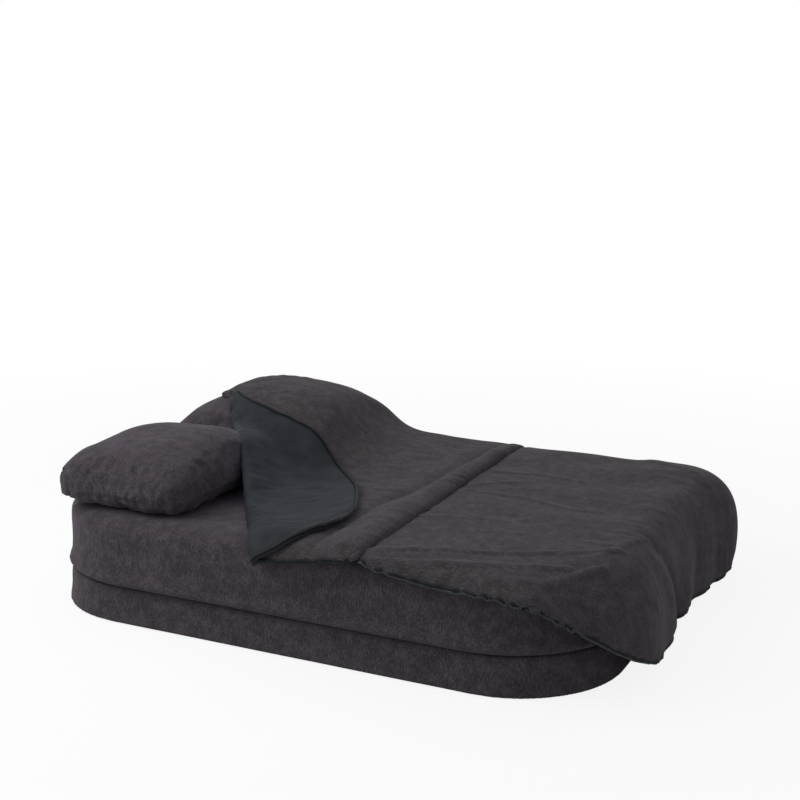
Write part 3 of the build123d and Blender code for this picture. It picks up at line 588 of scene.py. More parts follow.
def dress_pillow(piece, share, seed):
    """Creases along the front seam, a few soft folds, and a flat rest on the mattress."""
    p, n = places(piece), normals(piece)
    front = np.clip(-n[:, 1], 0, 1) * share
    along = np.column_stack((p[:, 0], p[:, 0] * 0 + seed, p[:, 2] * CREASE_DRAW))
    seam_z = SEAM_Z - PUCKER_DROP
    pucker = bell(p[:, 2] - seam_z, PUCKER_RUN) * front
    strong = PUCKER_LEAST + (1 - PUCKER_LEAST) * bell(p[:, 0] - PUCKER_X, PUCKER_REACH)
    move = wave(along, seed, *PUCKER) * pucker * strong
    move += wave(along, seed, *SEAM_WAVE) * bell(p[:, 2] - seam_z, SEAM_RUN)
    move += wave(p, seed, *PILLOW_WAVE)
    p = p + n * move[:, None]
    rest = MATTRESS_Z + REST_GAP
    low = rest + REST_ROUND
    flattened = rest + REST_ROUND * np.exp((p[:, 2] - low) / REST_ROUND)
    p[:, 2] = np.where(p[:, 2] < low, flattened, p[:, 2])
    put_places(piece, p)


# %% The two pillows
PILLOW_VOXEL = 0.008
near_pillow = pillow_form(
    "near_pillow", NEAR_Y, crown=0.144, tuck=0.11, foot_spread=0.020, voxel=PILLOW_VOXEL
)
far_pillow = pillow_form("far_pillow", FAR_Y, crown=0.158, tuck=0.06, foot_spread=0.0, voxel=PILLOW_VOXEL)
SEAM_BAND, STEEPEST = 0.007, 0.6
for piece, share, seed, body in (
    (near_pillow, 1.0, 31, "near_pillow"),
    (far_pillow, 0.5, 41, "back_section"),
):
    p, n = places(piece), normals(piece)
    seam = (np.abs(p[:, 2] - SEAM_Z) < SEAM_BAND) & (np.abs(n[:, 2]) < STEEPEST)
    puffed(piece, seam)
    dress_pillow(piece, share, seed)
    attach(piece, body)
    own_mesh(piece)
    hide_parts(f"{piece.name}_cover", f"{piece.name}_filling")
    reach = places(piece)
    print(piece.name, len(reach), "points, from", np.round(reach.min(0), 3), "to", np.round(reach.max(0), 3))

# %% [markdown]
# ## Quilt
# The quilt is two padded panels of velour with a smooth lining, joined by a tape across the bed. Cloth on a
# bed could be simulated from a flat sheet, but then its corners fall where they like. Here the flat pattern
# is folded over the mattress's edge by rule, with the hem where the photograph shows it.

# %% Quilt pattern, metres
QUILT_NEAR, QUILT_FAR = -0.745, 0.782
HEAD_END, FOOT_END = -0.785, 1.380
ROLL_NEAR, ROLL_FAR, ROLL_OVERHANG = 0.300, 0.258, 0.013
FAR_CORNER = 0.160
PATTERN_ROUND, HEAD_ROUND = 0.350, 0.300
TOP_Z = MATTRESS_Z
FULL, RIM = 0.026, 0.006
BEND_START = 0.055
STRAIGHT_Y = HALF_DEPTH - CORNER
NEAR_CREASE, FAR_CREASE = np.array((-0.050, -0.745)), np.array((-0.722, 0.178))


def roll_end(b):
    """The foot end of the upper panel; it lies a little askew, and the lower panel starts just under it."""
    return ROLL_NEAR + (ROLL_FAR - ROLL_NEAR) * (b - QUILT_NEAR) / (QUILT_FAR - QUILT_NEAR)


def inset_at(from_edge, radius):
    """How far a rounded corner cuts a line short, at a distance from the edge."""
    reach = np.clip(radius - from_edge, 0, radius)
    return radius - np.sqrt(radius**2 - reach**2)


def lines_across(count, crowding=0.55):
    """Lines across the bed from the near edge to the far one, closer together towards both."""
    share = np.linspace(0, 1, count)
    share = (1 - crowding) * share + crowding * (1 - np.cos(np.pi * share)) / 2
    return QUILT_NEAR + share * (QUILT_FAR - QUILT_NEAR)


def past_edge(a, b):
    """Distance past the mattress edge, outward direction, and the way round the foot, of pattern points."""
    corner = np.where((b > 0) & (a > 0), FAR_CORNER, CORNER)
    straight_x, straight_y = HALF_LENGTH - corner, HALF_DEPTH - corner
    ax, ay = np.abs(a) - straight_x, np.abs(b) - straight_y
    ox, oy = np.maximum(ax, 0), np.maximum(ay, 0)
    reach = np.hypot(ox, oy)
    past = reach + np.minimum(np.maximum(ax, ay), 0) - corner
    safe = np.maximum(reach, 1e-9)
    nx, ny = np.sign(a) * ox / safe, np.sign(b) * oy / safe
    turn = np.where(reach > 0, np.arctan2(ny, np.maximum(nx, 0)), 0)
    way = CORNER * math.pi / 2 + STRAIGHT_Y + np.clip(b, -straight_y, straight_y) + corner * turn
    way += np.sign(b) * np.maximum(straight_x - a, 0) * (oy > 0)
    return past, nx, ny, way


def pattern_reach(x, y, nx, ny):
    """How far the pattern goes past the mattress edge, from points of the edge outwards."""
    low, high = np.zeros_like(x), np.full_like(x, 0.7)
    middle_x, middle_y = (HEAD_END + FOOT_END) / 2, (QUILT_NEAR + QUILT_FAR) / 2
    core_x = (FOOT_END - HEAD_END) / 2 - PATTERN_ROUND
    core_y = (QUILT_FAR - QUILT_NEAR) / 2 - PATTERN_ROUND
    for _ in range(26):
        half = (low + high) / 2
        ax = np.abs(x + nx * half - middle_x) - core_x
        ay = np.abs(y + ny * half - middle_y) - core_y
        out = np.hypot(np.maximum(ax, 0), np.maximum(ay, 0)) + np.minimum(np.maximum(ax, ay), 0)
        inside = out < PATTERN_ROUND
        low, high = np.where(inside, half, low), np.where(inside, high, half)
    return low


# %% [markdown]
# The hem's place is a table along the way round the foot: how far it stands out from the mattress, and its
# height. The near side barely overhangs, the near corner hangs as a cone, the foot reaches almost to the
# floor, and the far corner stands out widest. Between the top and the hem the cloth follows a curve with two
# handles, one for the bend over the edge and one for the fall, and the foot hangs in a few upright folds.

# %% The hem round the foot
HEM = (  # way round the foot, distance out from the mattress, height
    (-0.700, 0.045, 0.318), (-0.590, 0.045, 0.325), (-0.480, 0.045, 0.343), (-0.400, 0.045, 0.362),
    (-0.310, 0.045, 0.378), (-0.257, 0.045, 0.361), (-0.177, 0.045, 0.343), (-0.077, 0.045, 0.330),
    (0.000, 0.045, 0.331), (0.100, 0.075, 0.338), (0.200, 0.110, 0.314), (0.267, 0.112, 0.265),
    (0.334, 0.114, 0.208), (0.401, 0.114, 0.153), (0.468, 0.114, 0.105), (0.535, 0.108, 0.068),
    (0.602, 0.101, 0.034), (0.676, 0.092, 0.022), (0.780, 0.086, 0.022), (0.880, 0.066, 0.026),
    (1.000, 0.052, 0.022), (1.190, 0.054, 0.022), (1.290, 0.062, 0.022), (1.400, 0.074, 0.022),
    (1.459, 0.092, 0.024), (1.500, 0.112, 0.050), (1.540, 0.130, 0.100), (1.585, 0.141, 0.160),
    (1.650, 0.135, 0.220), (1.710, 0.121, 0.262), (1.800, 0.100, 0.300), (1.950, 0.085, 0.330),
    (2.150, 0.078, 0.340), (3.400, 0.078, 0.346),
)
HEM_WAY, HEM_OUT, HEM_Z = zip(*HEM)
CORNER_WAY, CORNER_RUN = 1.56, 0.16  # the far foot corner, along the way round
BEND_OUT, BEND_MORE, BEND_CORNER, BEND_DROP = 0.028, 0.075, 0.062, 0.30
FALL_SHARE, FALL_MORE, FALL_CORNER, FALL_DROP, FALL_HIGH = 0.72, 0.38, 0.020, 0.34, 0.62
HANG_START, FOOT_START, FOOT_STOP = 0.12, (0.30, 0.15), (1.45, 0.20)  # a way and the run of its fade
FOLD_Y, FOLD_LEAN = -0.27, 0.33  # the leaning fold starts here at the edge, and this much over at the hem
FOLD_IN, FOLD_IN_AWAY, FOLD_IN_WIDE = 0.034, 0.012, 0.032
FOLD_OUT, FOLD_OUT_AWAY, FOLD_OUT_WIDE = 0.014, 0.09, 0.060
FOOT_FOLDS = ((0.17, 0.05, 0.009), (0.29, 0.035, -0.008), (0.40, 0.05, 0.007))  # place, width, depth


# %% Draping
def draped(a, b, lift):
    """Places of pattern points on the bed: flat on top, then over the edge and down to the hem."""
    past, nx, ny, way = past_edge(a, b)
    edge_x, edge_y = a - nx * past, b - ny * past
    longest = pattern_reach(edge_x, edge_y, nx, ny)
    share = np.clip((past + BEND_START) / (longest + BEND_START), 0, 1)
    hem_out = np.interp(way, HEM_WAY, HEM_OUT)
    hem_z = np.interp(way, HEM_WAY, HEM_Z)
    top = TOP_Z + FULL / 2 + lift
    drop = top - hem_z
    corner_way = bell(way - CORNER_WAY, CORNER_RUN)
    bend_more = BEND_MORE * np.minimum(drop / BEND_DROP, 1)
    first_out = -BEND_START + BEND_OUT + bend_more + BEND_CORNER * corner_way
    fall_share = FALL_SHARE + FALL_MORE * np.minimum(drop / FALL_DROP, 1)
    second_out = hem_out * fall_share + FALL_CORNER * corner_way
    second_z = hem_z + FALL_HIGH * drop
    ease = 1 - share
    out = -BEND_START * ease**3 + 3 * ease**2 * share * first_out + 3 * ease * share**2 * second_out
    out = out + share**3 * hem_out
    z = top * (ease**3 + 3 * ease**2 * share) + 3 * ease * share**2 * second_z + share**3 * hem_z
    hang = np.clip(share - HANG_START, 0, 1) * np.clip(drop / BEND_DROP, 0, 1)
    foot = np.clip((way - FOOT_START[0]) / FOOT_START[1], 0, 1)
    foot = foot * np.clip((FOOT_STOP[0] - way) / FOOT_STOP[1], 0, 1)
    from_fold = edge_y - (FOLD_Y + FOLD_LEAN * share)
    out = out - FOLD_IN * hang * foot * bell(from_fold - FOLD_IN_AWAY, FOLD_IN_WIDE)
    out = out + FOLD_OUT * hang * foot * bell(from_fold + FOLD_OUT_AWAY, FOLD_OUT_WIDE)
    for centre, width, depth in FOOT_FOLDS:
        out = out + depth * hang * foot * bell(edge_y - centre, width)
    on_top = past <= -BEND_START
    x = np.where(on_top, a, edge_x + nx * out)
    y = np.where(on_top, b, edge_y + ny * out)
    return np.stack((x, y, np.where(on_top, top, z)), axis=-1)


# %% [markdown]
# Over the pillows the quilt is a tent: a height field that rests on the mattress and both pillows and is
# pulled smooth between them, a few hundred relaxing steps on a 1 cm grid. A broad soft lift is added beyond
# the far pillow, where the quilt comes down slowly to the bed.

# %% The tent over the pillows
FIELD, RELAXING, SAG, LAST_SMOOTHING = 0.01, 500, 0.00012, 6
HALF_TENT, SQUARENESS_Y, SQUARENESS_X, TENT_CLEAR = 0.322, 2.2, 2.7, 0.014
FAR_X, NEAR_CROWN, FAR_CROWN, FAR_SPREAD = PILLOW_X + 0.035, 0.140, 0.169, 0.085
LIFT, LIFT_X, LIFT_RUN_X, LIFT_Y, LIFT_RUN_Y = 0.026, -0.15, 0.15, 0.45, 0.30


def neighbours(field):
    """The mean of each inner point's four neighbours."""
    return (field[:-2, 1:-1] + field[2:, 1:-1] + field[1:-1, :-2] + field[1:-1, 2:]) / 4


field_x = np.arange(-1.0, 0.41, FIELD)
field_y = np.arange(-0.80, 0.81, FIELD)
grid_x, grid_y = np.meshgrid(field_x, field_y)
support = np.zeros_like(grid_x)
for middle_x, middle_y, crown, foot_spread in (
    (PILLOW_X, NEAR_Y, NEAR_CROWN, 0.0),
    (FAR_X, FAR_Y, FAR_CROWN, FAR_SPREAD),
):
    s = np.clip(np.abs(grid_y - middle_y) / HALF_TENT, 0, 1)
    reach = np.where(grid_x > middle_x, HALF_ALONG + foot_spread, HALF_ALONG)
    t = np.clip(np.abs(grid_x - middle_x) / reach, 0, 1)
    dome = np.sqrt((1 - s**SQUARENESS_Y) * (1 - t**SQUARENESS_X))
    held_up = np.where(dome > 0, SEAM_Z - TOP_Z + TENT_CLEAR + crown * dome, 0)
    support = np.maximum(support, held_up)
tent = support.copy()
for _ in range(RELAXING):
    smooth = tent.copy()
    smooth[1:-1, 1:-1] = neighbours(tent)
    tent = np.maximum(support, smooth - SAG)
for _ in range(LAST_SMOOTHING):
    tent[1:-1, 1:-1] = neighbours(tent)
tent += LIFT * bell(grid_x - LIFT_X, LIFT_RUN_X) * bell(grid_y - LIFT_Y, LIFT_RUN_Y)
print("the tent rises", round(float(tent.max()), 3), "m over the mattress")


def tent_at(x, y):
    """Height of the tent over the mattress at plan points."""
    fx = np.clip((x - field_x[0]) / FIELD, 0, len(field_x) - 1.001)
    fy = np.clip((y - field_y[0]) / FIELD, 0, len(field_y) - 1.001)
    i, j = fx.astype(int), fy.astype(int)
    u, v = fx - i, fy - j
    return (
        tent[j, i] * (1 - u) * (1 - v)
        + tent[j, i + 1] * u * (1 - v)
        + tent[j + 1, i] * (1 - u) * v
        + tent[j + 1, i + 1] * u * v
    )


# %% The two panels' middle surfaces
def crease_x(y):
    """The line where the near head corner is folded back."""
    share = (y - NEAR_CREASE[1]) / (FAR_CREASE[1] - NEAR_CREASE[1])
    return NEAR_CREASE[0] + share * (FAR_CREASE[0] - NEAR_CREASE[0])


def panel_pattern(lines, columns, ends):
    """Pattern points of a panel, line by line, between its two ends."""
    share = np.linspace(0, 1, columns)
    start, stop = ends(lines)
    a = start[:, None] + (stop - start)[:, None] * share[None, :]
    return a, np.repeat(lines[:, None], columns, axis=1)


SEAM_ROUND, ROLL_ROUND = 0.055, 0.03


def lower_ends(lines):
    """Where the lower panel starts and stops on lines across the bed."""
    edge = np.minimum(lines - QUILT_NEAR, QUILT_FAR - lines)
    start = roll_end(lines) - ROLL_OVERHANG
    return start + inset_at(edge, SEAM_ROUND), FOOT_END - inset_at(edge, PATTERN_ROUND)


def upper_ends(lines):
    """Where the upper panel starts and stops on lines across the bed."""
    head = HEAD_END + inset_at(QUILT_FAR - lines, HEAD_ROUND)
    near = np.maximum(crease_x(lines), head)
    edge = np.minimum(lines - QUILT_NEAR, QUILT_FAR - lines)
    return np.where(lines < FAR_CREASE[1], near, head), roll_end(lines) - inset_at(edge, ROLL_ROUND)


# %% The roll, and the panels' grids
VALLEY_Y = (-0.745, -0.33, -0.20, -0.05, 0.27, 0.59, 0.782)
VALLEY_BACK = (0.165, 0.158, 0.148, 0.114, 0.086, 0.060, 0.050)
VALLEY_DEEP, VALLEY_RUN = 0.007, 0.020
RIDGE, RIDGE_AT, RIDGE_RUN = 0.020, 0.42, 0.46  # a height, and shares of the valley's distance from the end
BACK_RIDGE, BACK_AWAY, BACK_RUN = 0.006, 0.055, 0.042
FADE, FADE_Y, FADE_RUN = 0.85, 0.48, 0.26
FOOT_LIFT, FOOT_LIFT_X, FOOT_LIFT_Y, FOOT_LIFT_RUN = 0.010, 0.85, 0.62, 0.22


def roll_fade(b):
    """The roll flattens towards the far edge of the bed."""
    return 1 - FADE * np.clip((b - FADE_Y) / FADE_RUN, 0, 1)


def roll_lift(a, b):
    """The rolled end of the upper panel: a ridge beside the seam, a valley, and a lower ridge behind it."""
    from_end = roll_end(b) - a
    valley = np.interp(b, VALLEY_Y, VALLEY_BACK)
    first = RIDGE * bell(from_end - RIDGE_AT * valley, RIDGE_RUN * valley)
    second = BACK_RIDGE * bell(from_end - valley - BACK_AWAY, BACK_RUN)
    return (first + second - VALLEY_DEEP * bell(from_end - valley, VALLEY_RUN)) * roll_fade(b)


ACROSS, ALONG = ((120, 90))
lines = lines_across(ACROSS)
lower_a, lower_b = panel_pattern(lines, ALONG, lower_ends)
upper_a, upper_b = panel_pattern(lines, ALONG + 24, upper_ends)
foot_lift = bell(lower_a - FOOT_LIFT_X, FOOT_LIFT_RUN) * bell(lower_b - FOOT_LIFT_Y, FOOT_LIFT_RUN)
lower_middle = draped(lower_a, lower_b, FOOT_LIFT * foot_lift)
upper_middle = draped(upper_a, upper_b, tent_at(upper_a, upper_b) + roll_lift(upper_a, upper_b))
print("quilt grid", lower_middle.shape, upper_middle.shape)


# %% [markdown]
# A shell gives each middle surface its padding: full in the middle, thin at the rim where the zip is sewn.

# %% Padded shell
def finer(grid):
    """The grid with a point between each two, smoothed once along and across."""
    for axis in (0, 1):
        count = grid.shape[axis]
        before, after = np.take(grid, range(count - 1), axis), np.take(grid, range(1, count), axis)
        shape = list(grid.shape)
        shape[axis] = 2 * count - 1
        dense = np.empty(shape)
        dense[(slice(None),) * axis + (slice(0, None, 2),)] = grid
        dense[(slice(None),) * axis + (slice(1, None, 2),)] = (before + after) / 2
        inner = (slice(None),) * axis + (slice(1, -1),)
        left = (slice(None),) * axis + (slice(0, -2),)
        right = (slice(None),) * axis + (slice(2, None),)
        grid = dense.copy()
        grid[inner] = dense[inner] / 2 + (dense[left] + dense[right]) / 4
    return grid


def grid_normals(grid):
    """Unit normals of a grid of points, pointing up on the flat."""
    along, across = np.gradient(grid, axis=1), np.gradient(grid, axis=0)
    n = np.cross(along, across)
    return n / np.maximum(np.linalg.norm(n, axis=-1, keepdims=True), 1e-12)


def padded_shell(name, middle, thickness, upper_material, lower_material):
    """A closed padded piece: the middle surface grown both ways by half the thickness."""
    grown = grid_normals(middle) * (thickness / 2)[..., None]
    return closed_shell(name, middle + grown, middle - grown, upper_material, lower_material)


def rim_distance(middle, last_column=1.0):
    """Distance to the nearest edge along rows and columns; the last column's can count for more."""
    steps = np.linalg.norm(np.diff(middle, axis=1), axis=-1)
    along = np.concatenate((np.zeros((len(steps), 1)), np.cumsum(steps, axis=1)), axis=1)
    steps = np.linalg.norm(np.diff(middle, axis=0), axis=-1)
    across = np.concatenate((np.zeros((1, steps.shape[1])), np.cumsum(steps, axis=0)), axis=0)
    to_last = (along.max(axis=1, keepdims=True) - along) * last_column
    to_side = np.minimum(across, across.max(axis=0, keepdims=True) - across)
    return np.minimum(np.minimum(along, to_last), to_side)


def padding(from_rim, full, rim, run):
    """Thickness that swells from the rim to full in a quarter round."""
    share = np.clip(from_rim / run, 0, 1)
    return rim + (full - rim) * np.sqrt(1 - (1 - share) ** 2)


# %% [markdown]
# The photograph shows long soft creases that run down the lower panel, finer wrinkles the same way, and short
# puckers where the zip draws the hem in. The creases that can be told apart are lines of plan points, and
# the rest is noise stretched along the panel. Where the padding thins towards the rim, the panel sinks onto
# the bed.

# %% Creases and puckers
LOWER_CREASES = (
    (((0.308, -0.678), (0.447, -0.620), (0.590, -0.571), (0.865, -0.457), (1.000, -0.340)), 0.0065, 0.010),
    (((0.350, -0.720), (0.629, -0.662), (0.906, -0.575)), 0.0060, 0.010),
    (((0.700, -0.705), (0.840, -0.680), (0.931, -0.620), (1.010, -0.500)), 0.0060, 0.012),
    (((0.286, 0.031), (0.549, 0.038), (0.713, -0.023), (0.816, -0.022)), 0.0050, 0.009),
    (((0.303, 0.095), (0.474, 0.236)), 0.0040, 0.010),
    (((0.320, 0.300), (0.500, 0.330), (0.640, 0.300)), 0.0035, 0.010),
    (((0.310, -0.300), (0.480, -0.250), (0.600, -0.240)), 0.0035, 0.011),
    (((0.949, -0.430), (1.018, -0.196)), 0.0040, 0.012),
    (((0.711, 0.725), (1.043, 0.534)), 0.0045, 0.012),
)
UPPER_CREASES = (
    (((-0.700, 0.300), (-0.640, 0.420), (-0.560, 0.560)), 0.0035, 0.012),
    (((-0.735, 0.240), (-0.690, 0.400), (-0.640, 0.520)), 0.0035, 0.010),
    (((0.240, 0.060), (0.272, 0.090)), 0.0050, 0.007),
    (((0.244, 0.120), (0.276, 0.140)), 0.0045, 0.007),
    (((0.215, 0.020), (0.262, 0.050)), 0.0040, 0.007),
)


CREASE_SPREAD, LEAN, WRINKLE_DRAW, BILLOW_DRAW = 1.3, 0.12, 0.22, 0.6
PATCH_LEAST, PATCH_MORE, PATCH_MOST, PATCH_SIZE, PATCH_STEP = 0.5, 0.9, 1.4, 0.28, 5
WRINKLE, FINE_WRINKLE = (0.0017, 0.032, 0), (0.0006, 0.012, 1)  # height, patch size, step of the seed
BILLOW, HEM_PUCKER, HEM_RUN = (0.0045, 0.160, 2), (0.0055, 0.040, 3), 0.028


def creased(grid, creases, edge, seed):
    """Moves a middle surface along its normals by its creases, wrinkles and hem puckers."""
    middle, a, b = grid[..., :3], grid[..., 3], grid[..., 4]
    move = np.zeros(a.shape)
    for line, height, width in creases:
        away = from_line(a, b, line)
        move += height * bell(away, CREASE_SPREAD * width)
    x, y, none = a.ravel(), b.ravel(), np.zeros(a.size)
    plain = np.column_stack((x, y, none))
    drawn = np.column_stack((x * WRINKLE_DRAW, y - LEAN * x, none))
    wide = np.column_stack((x * BILLOW_DRAW, y, none))
    patch = PATCH_LEAST + PATCH_MORE * cloud(plain, PATCH_SIZE, seed + PATCH_STEP)
    patch = np.clip(patch, 0, PATCH_MOST).reshape(a.shape)
    move += patch * wave(drawn, seed, *WRINKLE).reshape(a.shape)
    move += patch * wave(drawn, seed, *FINE_WRINKLE).reshape(a.shape)
    move += wave(wide, seed, *BILLOW).reshape(a.shape)
    move += wave(middle.reshape(-1, 3), seed, *HEM_PUCKER).reshape(a.shape) * bell(edge, HEM_RUN)
    return middle + grid_normals(middle) * move[..., None]


# %% The two panels
PAD_RUN, ROLL_MORE, ROLL_AT, ROLL_RUN, ROLL_RIM = 0.05, 0.014, 0.042, 0.044, 0.03
quilt_pieces, quilt_middles = {}, {}
for name, middle, a, b, creases, end, seed in (
    ("lower", lower_middle, lower_a, lower_b, LOWER_CREASES, 1.0, 51),
    ("upper", upper_middle, upper_a, upper_b, UPPER_CREASES, 2.6, 61),
):
    grid = finer(np.concatenate((middle, a[..., None], b[..., None]), axis=-1))
    edge = rim_distance(grid[..., :3], end)
    middle = creased(grid, creases, edge, seed)
    thickness = padding(edge, FULL, RIM, PAD_RUN)
    if name == "upper":
        from_end = roll_end(grid[..., 4]) - grid[..., 3]
        swell = bell(from_end - ROLL_AT, ROLL_RUN) * roll_fade(grid[..., 4])
        thickness += ROLL_MORE * swell * np.clip(edge / ROLL_RIM, 0, 1)
    thinner = (FULL - np.minimum(thickness, FULL)) / 2
    middle[..., 2] -= thinner * np.clip(grid_normals(middle)[..., 2], 0, 1) ** 2
    piece = padded_shell(f"quilt_{name}", middle, thickness, quilt_velour, lining)
    quilt_pieces[name], quilt_middles[name] = piece, middle
    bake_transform(piece)
    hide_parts(f"quilt_{name}_panel")
print("quilt faces", {name: len(piece.data.polygons) for name, piece in quilt_pieces.items()})

# %% [markdown]
# A tape, 26 mm wide, joins the two panels. It lies under the roll.

# %% Seam tape
TAPE_WIDE, TAPE_THICK, TAPE_BACK, TAPE_LOW = 0.026, 0.0015, 0.024, -0.007
tape_share = np.linspace(0, 1, 4)[None, :]
tape_lines = np.repeat(lines_across(90)[4:-4, None], 4, axis=1)
tape_x = roll_end(tape_lines) - TAPE_BACK + TAPE_WIDE * tape_share
tape_middle = draped(tape_x, tape_lines, np.full_like(tape_x, TAPE_LOW))
tape_thickness = np.full(tape_x.shape, TAPE_THICK)
seam_tape = padded_shell("quilt_seam_strip", tape_middle, tape_thickness, zip_tape, zip_tape)
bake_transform(seam_tape)
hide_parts("quilt_seam_tape")
print("seam tape", tape_middle.shape)

# %% [markdown]
# The near head corner is folded back over the quilt, so its lining faces up and wraps round the fold. Its
# outline in plan is four lines: the fold, the near side, the free edge and the short head side. A patch is
# blended between them, laid on the quilt, and a half round joins it to the quilt's underside at the fold.

# %% Turned corner
NEAR_SIDE = (
    (-0.050, -0.745), (-0.038, -0.736), (-0.005, -0.726), (0.040, -0.708), (0.075, -0.670),
    (0.098, -0.600), (0.107, -0.530),
)
FREE_EDGE = (
    (0.107, -0.530), (0.110, -0.440), (0.085, -0.335), (0.005, -0.180), (-0.080, -0.067), (-0.180, 0.025),
    (-0.285, 0.078), (-0.400, 0.080), (-0.540, 0.098), (-0.650, 0.134), (-0.700, 0.170),
)
HEAD_SIDE = ((-0.722, 0.178), (-0.711, 0.175), (-0.700, 0.170))
FLAP, FOLD_TURN = 0.013, 0.0140
FLAP_GAP, GAP_RUN, FLAP_RIM, FLAP_RUN = 0.003, 0.06, 0.005, 0.022
RIPPLE, SLOW_RIPPLE, WOBBLE = (0.0035, 0.030, 71), (0.0060, 0.110, 72), (0.30, 0.06, 73)
TURN_FROM, TURN_TO, TURN_STEPS = 178, 14, 12
UP_STEPS, OUT_STEPS = ((150, 80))

fold = even((NEAR_CREASE, (NEAR_CREASE + FAR_CREASE) / 2 + np.array((0.010, 0.007)), FAR_CREASE), UP_STEPS)
fold = rounded(fold, UP_STEPS, 1)
free = rounded(FREE_EDGE, UP_STEPS)
near_side, head_side = rounded(NEAR_SIDE, OUT_STEPS), rounded(HEAD_SIDE, OUT_STEPS)
u = np.linspace(0, 1, UP_STEPS)[:, None, None]
v = np.linspace(0, 1, OUT_STEPS)[None, :, None]
patch = (1 - v) * fold[:, None] + v * free[:, None] + (1 - u) * near_side[None] + u * head_side[None]
patch -= (1 - u) * ((1 - v) * fold[0] + v * free[0]) + u * ((1 - v) * fold[-1] + v * free[-1])
patch_x, patch_y = patch[..., 0], patch[..., 1]
# %% The flap on the quilt, and its round fold
laid = draped(patch_x, patch_y, tent_at(patch_x, patch_y) + roll_lift(patch_x, patch_y))
n = grid_normals(laid)
steps = np.linalg.norm(np.diff(laid, axis=1), axis=-1)
from_fold = np.concatenate((np.zeros((UP_STEPS, 1)), np.cumsum(steps, axis=1)), axis=1)
resting = FULL / 2 + FLAP / 2 + FLAP_GAP
gap = FOLD_TURN + (resting - FOLD_TURN) * np.clip(from_fold / GAP_RUN, 0, 1)
u2, v2 = np.broadcast_to(u[..., 0], gap.shape), np.broadcast_to(v[..., 0], gap.shape)
ripples, slow = (
    np.column_stack(((u2 * 1.1).ravel(), (v2 * drawn_out).ravel(), (v2 * 0.02).ravel()))
    for drawn_out in (0.12, 0.35)
)
gap = gap + wave(ripples, 0, *RIPPLE).reshape(gap.shape) * (1.15 - v2) * (1.1 - 0.6 * u2)
gap = gap + np.abs(wave(slow, 0, *SLOW_RIPPLE)).reshape(gap.shape)
top = laid + n * gap[..., None]
inward = top[:, 1] - top[:, 0]
inward /= np.linalg.norm(inward, axis=1, keepdims=True)
axis_line = top[:, 0] - n[:, 0] * FOLD_TURN
up_share = u[:, 0, 0]
wobble = 1 + np.abs(wave(np.column_stack((up_share, up_share * 0, up_share * 0)), 0, *WOBBLE))[:, None]
round_fold = np.stack(
    [
        axis_line + FOLD_TURN * (n[:, 0] * math.cos(t) - inward * (math.sin(t) * wobble))
        for t in np.radians(np.linspace(TURN_FROM, TURN_TO, TURN_STEPS))
    ],
    axis=1,
)
flap_middle = finer(np.concatenate((round_fold, top), axis=1))
thickness = padding(rim_distance(flap_middle), FLAP, FLAP_RIM, FLAP_RUN)
flap_middle[..., 2] -= (FLAP - thickness) / 2
flap = padded_shell("quilt_turned_corner_flap", flap_middle, thickness, lining, quilt_velour)
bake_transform(flap)
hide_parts("quilt_turned_corner")
print("flap", flap_middle.shape, "highest", round(float(flap_middle[..., 2].max()), 3))

# %% [markdown]
# A zip runs round every free edge of the quilt, so that the panels can be closed into a cover. Along an edge
# it is a bead of turned-over lining, a flat dark tape sewn to it, and a coil on the tape. Each is a small
# section swept along the rim, and the rim's own puckers make it wave.

# %% Zip sections
def ellipse(out, up, half_out, half_up, sides):
    """A section with its middle out from the rim and up from the cloth."""
    turns = np.radians(np.arange(sides) * 360 / sides)
    return tuple((out + half_out * math.cos(t), up + half_up * math.sin(t)) for t in turns)


BEAD = ellipse(0, 0, 0.0045, 0.0058, 8)
TAPE = ((-0.001, 0.0040), (-0.001, 0.0062), (-0.013, 0.0104), (-0.013, 0.0070))
COIL = ellipse(-0.0055, 0.0082, 0.0032, 0.0030, 6)


def rim_frames(middle, path):
    """Places, outward directions and normals along grid points that run anticlockwise round a rim."""
    n = grid_normals(middle)
    line = np.array([middle[r, c] for r, c in path])
    up = np.array([n[r, c] for r, c in path])
    ahead = np.gradient(line, axis=0)
    out = np.cross(ahead, up)
    out /= np.maximum(np.linalg.norm(out, axis=1, keepdims=True), 1e-9)
    return line, out, up


def swept_zip(name, runs):
    """One piece of bead, tape and coil along several rims, the bead of the given material's number."""
    points, faces, index = [], [], []
    for bead, (line, out, up) in runs:
        for material, section in ((bead, BEAD), (1, TAPE), (2, COIL)):
            section = np.array(section)
            rings = line[:, None] + out[:, None] * section[None, :, :1] + up[:, None] * section[None, :, 1:]
            first, count, sides = len(points), len(line), len(section)
            points.extend(rings.reshape(-1, 3))
            new = grid_faces(count, sides, around=True, first=first)
            new.append(tuple(first + c for c in range(sides))[::-1])
            new.append(tuple(first + (count - 1) * sides + c for c in range(sides)))
            faces.extend(new)
            index.extend([material] * len(new))
    piece = mesh_piece(name, points, faces, zip_binding)
    for material in (zip_tape, zip_coil):
        piece.data.materials.append(material)
    piece.data.polygons.foreach_set("material_index", index)
    shape = bmesh.new()
    shape.from_mesh(piece.data)
    bmesh.ops.recalc_face_normals(shape, faces=shape.faces)
    shape.to_mesh(piece.data)
    shape.free()
    return piece


